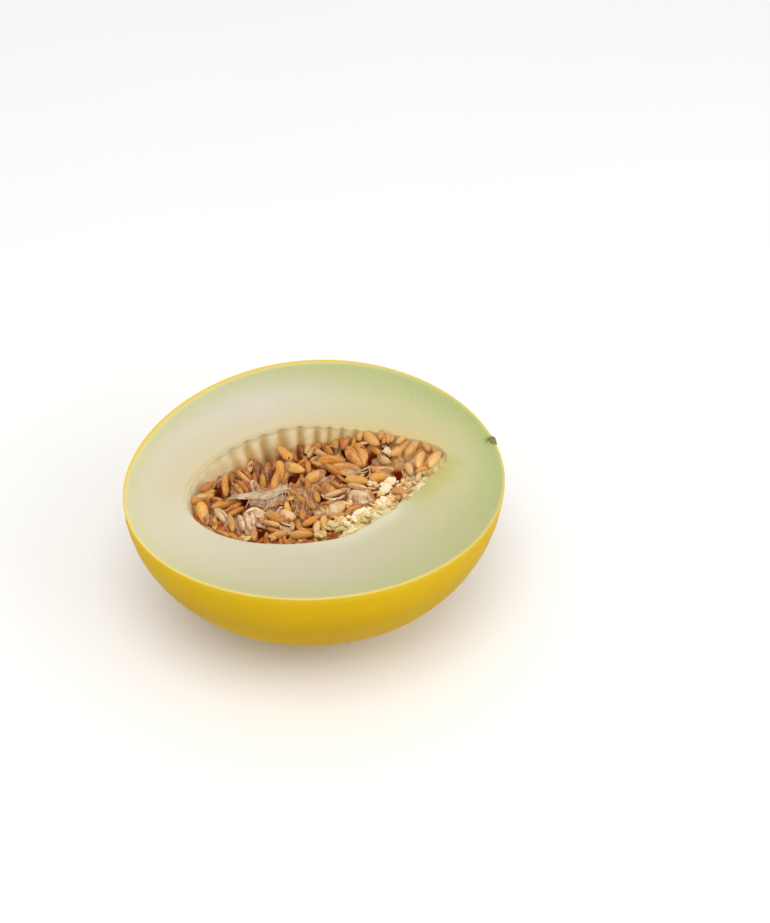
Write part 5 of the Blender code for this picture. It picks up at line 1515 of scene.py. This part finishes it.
def drape(count, length, width, thick, hues, seed, name, mat):
    r = random.Random(seed)
    verts, faces, hue = [], [], []
    made_so_far = 0
    for _ in range(count * 4):
        if made_so_far >= count:
            break
        x, y = r.uniform(-58, 62), r.uniform(-40, 32)
        if not inside((x, y, FACE_Z - 5.0), 1.5) or pit_share(np.array([[x, y]]))[0] > 0.35:
            continue
        if x > -8.0 and y < -30.0 + 0.62 * (x + 8.0):     # beside the torn flesh
            continue
        a, bend = r.uniform(0, 2 * math.pi), r.gauss(0, 0.9)
        size, wide, tone = r.uniform(*length), r.uniform(*width), r.uniform(*hues)
        steps = max(6, int(size * 1.6))
        rows = []
        for i in range(steps):
            t = i / (steps - 1)
            half = wide * (0.25 + 0.75 * math.sin(math.pi * min(max(t, 0.04), 0.96)) ** 0.7) * (1 + 0.4 * noise.noise(Vector((t * 6, x, y))))
            zc = top_of_pile(x, y)
            if zc is None:
                break
            side = (-math.sin(a), math.cos(a))
            row = []
            for q in (-1.0, -0.4, 0.4, 1.0):
                px, py = x + side[0] * half * q, y + side[1] * half * q
                z = top_of_pile(px, py)
                z = zc if z is None else max(z, zc - 0.5 * half)
                row.append([px, py, z + 0.12 + 0.25 * abs(noise.noise(Vector((px * 0.9, py * 0.9, 4.0))))])
            rows.append(row)
            x += math.cos(a) * size / steps
            y += math.sin(a) * size / steps
            a += bend / steps + 0.25 * noise.noise(Vector((x, y, 9.0)))
        if len(rows) < steps:
            continue
        g = np.array(rows)
        if g[:, :, 2].max() > FACE_Z + 0.4 or np.abs(np.diff(g[:, 1, 2])).max() > 2.6:
            continue
        k = g[:, :, 2].copy()
        for _ in range(2):                       # pulled taut over the gaps
            k[1:-1] = np.maximum(k[1:-1], 0.5 * (k[:-2] + k[2:]))
        g[:, :, 2] = k
        base = len(verts)
        n = steps * 4
        low = g.copy()
        low[:, :, 2] -= thick
        verts += list(g.reshape(-1, 3)) + list(low.reshape(-1, 3))
        hue += [tone] * (2 * n)
        for i in range(steps - 1):
            for c in range(3):
                p0, p1, p2, p3 = base + i * 4 + c, base + (i + 1) * 4 + c, base + (i + 1) * 4 + c + 1, base + i * 4 + c + 1
                faces.append((p0, p1, p2, p3))
                faces.append((p0 + n, p3 + n, p2 + n, p1 + n))
            for c, flip in ((0, False), (3, True)):
                p0, p1 = base + i * 4 + c, base + (i + 1) * 4 + c
                faces.append((p1, p0, p0 + n, p1 + n) if not flip else (p0, p1, p1 + n, p0 + n))
        for i, flip in ((0, True), (steps - 1, False)):
            for c in range(3):
                p0, p1 = base + i * 4 + c, base + i * 4 + c + 1
                faces.append((p0, p1, p1 + n, p0 + n) if flip else (p1, p0, p0 + n, p1 + n))
        made_so_far += 1
    obj = mesh_object(name, np.array(verts), faces, mat)
    attribute(obj, "hue", hue)
    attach(obj, "root")
    return made_so_far


shred_mat = shred_material()
print("shreds:", drape(90, (2.5, 6.0), (0.4, 1.0), 0.16, (0.05, 0.66), 51, "pulp_shreds", shred_mat),
      drape(36, (5.0, 12.0), (0.08, 0.16), 0.12, (0.05, 0.4), 52, "pulp_threads", shred_mat))


# ---- the thin skins that still cling to some seeds --------------------------------------------
def seed_skins():
    skin_rng = random.Random(77)
    verts, faces = [], []
    for i, pose in enumerate(SKINNED):
        centre, along, across, through, length, width, thick = pose
        shape, f, _, _, _ = seed_shape(length * skin_rng.uniform(1.05, 1.16), width * skin_rng.uniform(1.16, 1.5),
                                       thick * skin_rng.uniform(1.05, 1.2), 17, 26)
        keep = skin_rng.uniform(-0.3, 0.3)
        centre = centre + across * keep * width * 0.3 + along * skin_rng.uniform(-0.05, 0.05) * length
        world = centre + shape[:, :1] * along + shape[:, 1:2] * across + shape[:, 2:] * through
        wob = field(world, 2.2, 3, 90.0 + i)
        world = world + across * (0.35 * wob)[:, None] + through * (0.16 * wob)[:, None]
        base = len(verts)
        verts += list(world)
        faces += [tuple(base + k for k in q) for q in f]
    n = Nodes("seed_skin")
    pos = n.position()
    patch = n.noise(120.0, 2.0, 0.5, pos)
    n.set(Base_Color=n.mix(n.span(n.noise(240.0, 3.0, 0.55, pos), 0.35, 0.7), srgb(244, 206, 150), srgb(220, 162, 98)), Roughness=0.5,
          Normal=n.bump(n.noise(700.0, 3.0, 0.6, pos), 0.2, 0.0004), Alpha=n.span(patch, 0.42, 0.80, 0.0, 0.50), Coat_Weight=0.1,
          Coat_Roughness=0.4, Specular_IOR_Level=0.25)
    obj = mesh_object("seed_skins", np.array(verts), faces, n.mat)
    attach(obj, "root")


seed_skins()


# ---- floor, light, camera ------------------------------------------------------------
floor_mat = floor_material()
floor = mesh_object("floor", [(-6000, -6000, 0), (6000, -6000, 0), (6000, 6000, 0), (-6000, 6000, 0)], [(0, 1, 2, 3)], floor_mat, smooth=False)

scene = bpy.context.scene
world = bpy.data.worlds.new("soft_sky")
scene.world = world
world.use_nodes = True
world.node_tree.nodes["Background"].inputs[0].default_value = (1.0, 1.0, 1.0, 1.0)
world.node_tree.nodes["Background"].inputs[1].default_value = 0.74


def area_light(name, where, look, size, power, colour=(1, 1, 1)):
    light = bpy.data.lights.new(name, "AREA")
    light.shape = "DISK"
    light.size = size
    light.energy = power
    light.color = colour
    obj = bpy.data.objects.new(name, light)
    scene.collection.objects.link(obj)
    obj.location = where
    obj.rotation_euler = (Vector(look) - Vector(where)).to_track_quat("-Z", "Y").to_euler()
    return obj


area_light("key", (-0.22, -0.42, 1.35), (0, 0, 0.05), 0.9, 7.2, (1.0, 0.985, 0.96))
area_light("fill", (0.9, -0.9, 0.9), (0, 0, 0.05), 1.2, 5.0)

camera = bpy.data.cameras.new("camera")
camera.sensor_width = 36.0
camera.sensor_fit = "AUTO"
camera.lens = FOCAL * 36.0 / 923.0
camera.clip_start = 0.01
camera.clip_end = 50.0
cam = bpy.data.objects.new("camera", camera)
scene.collection.objects.link(cam)
back = -AHEAD.normalized()
right = RIGHT.normalized()
up = back.cross(right).normalized()
right = up.cross(back).normalized()
cam.matrix_world = Matrix((
    (right.x, up.x, back.x, EYE.x * MM),
    (right.y, up.y, back.y, EYE.y * MM),
    (right.z, up.z, back.z, EYE.z * MM),
    (0, 0, 0, 1),
))
scene.camera = cam
scene.view_settings.view_transform = "Standard"
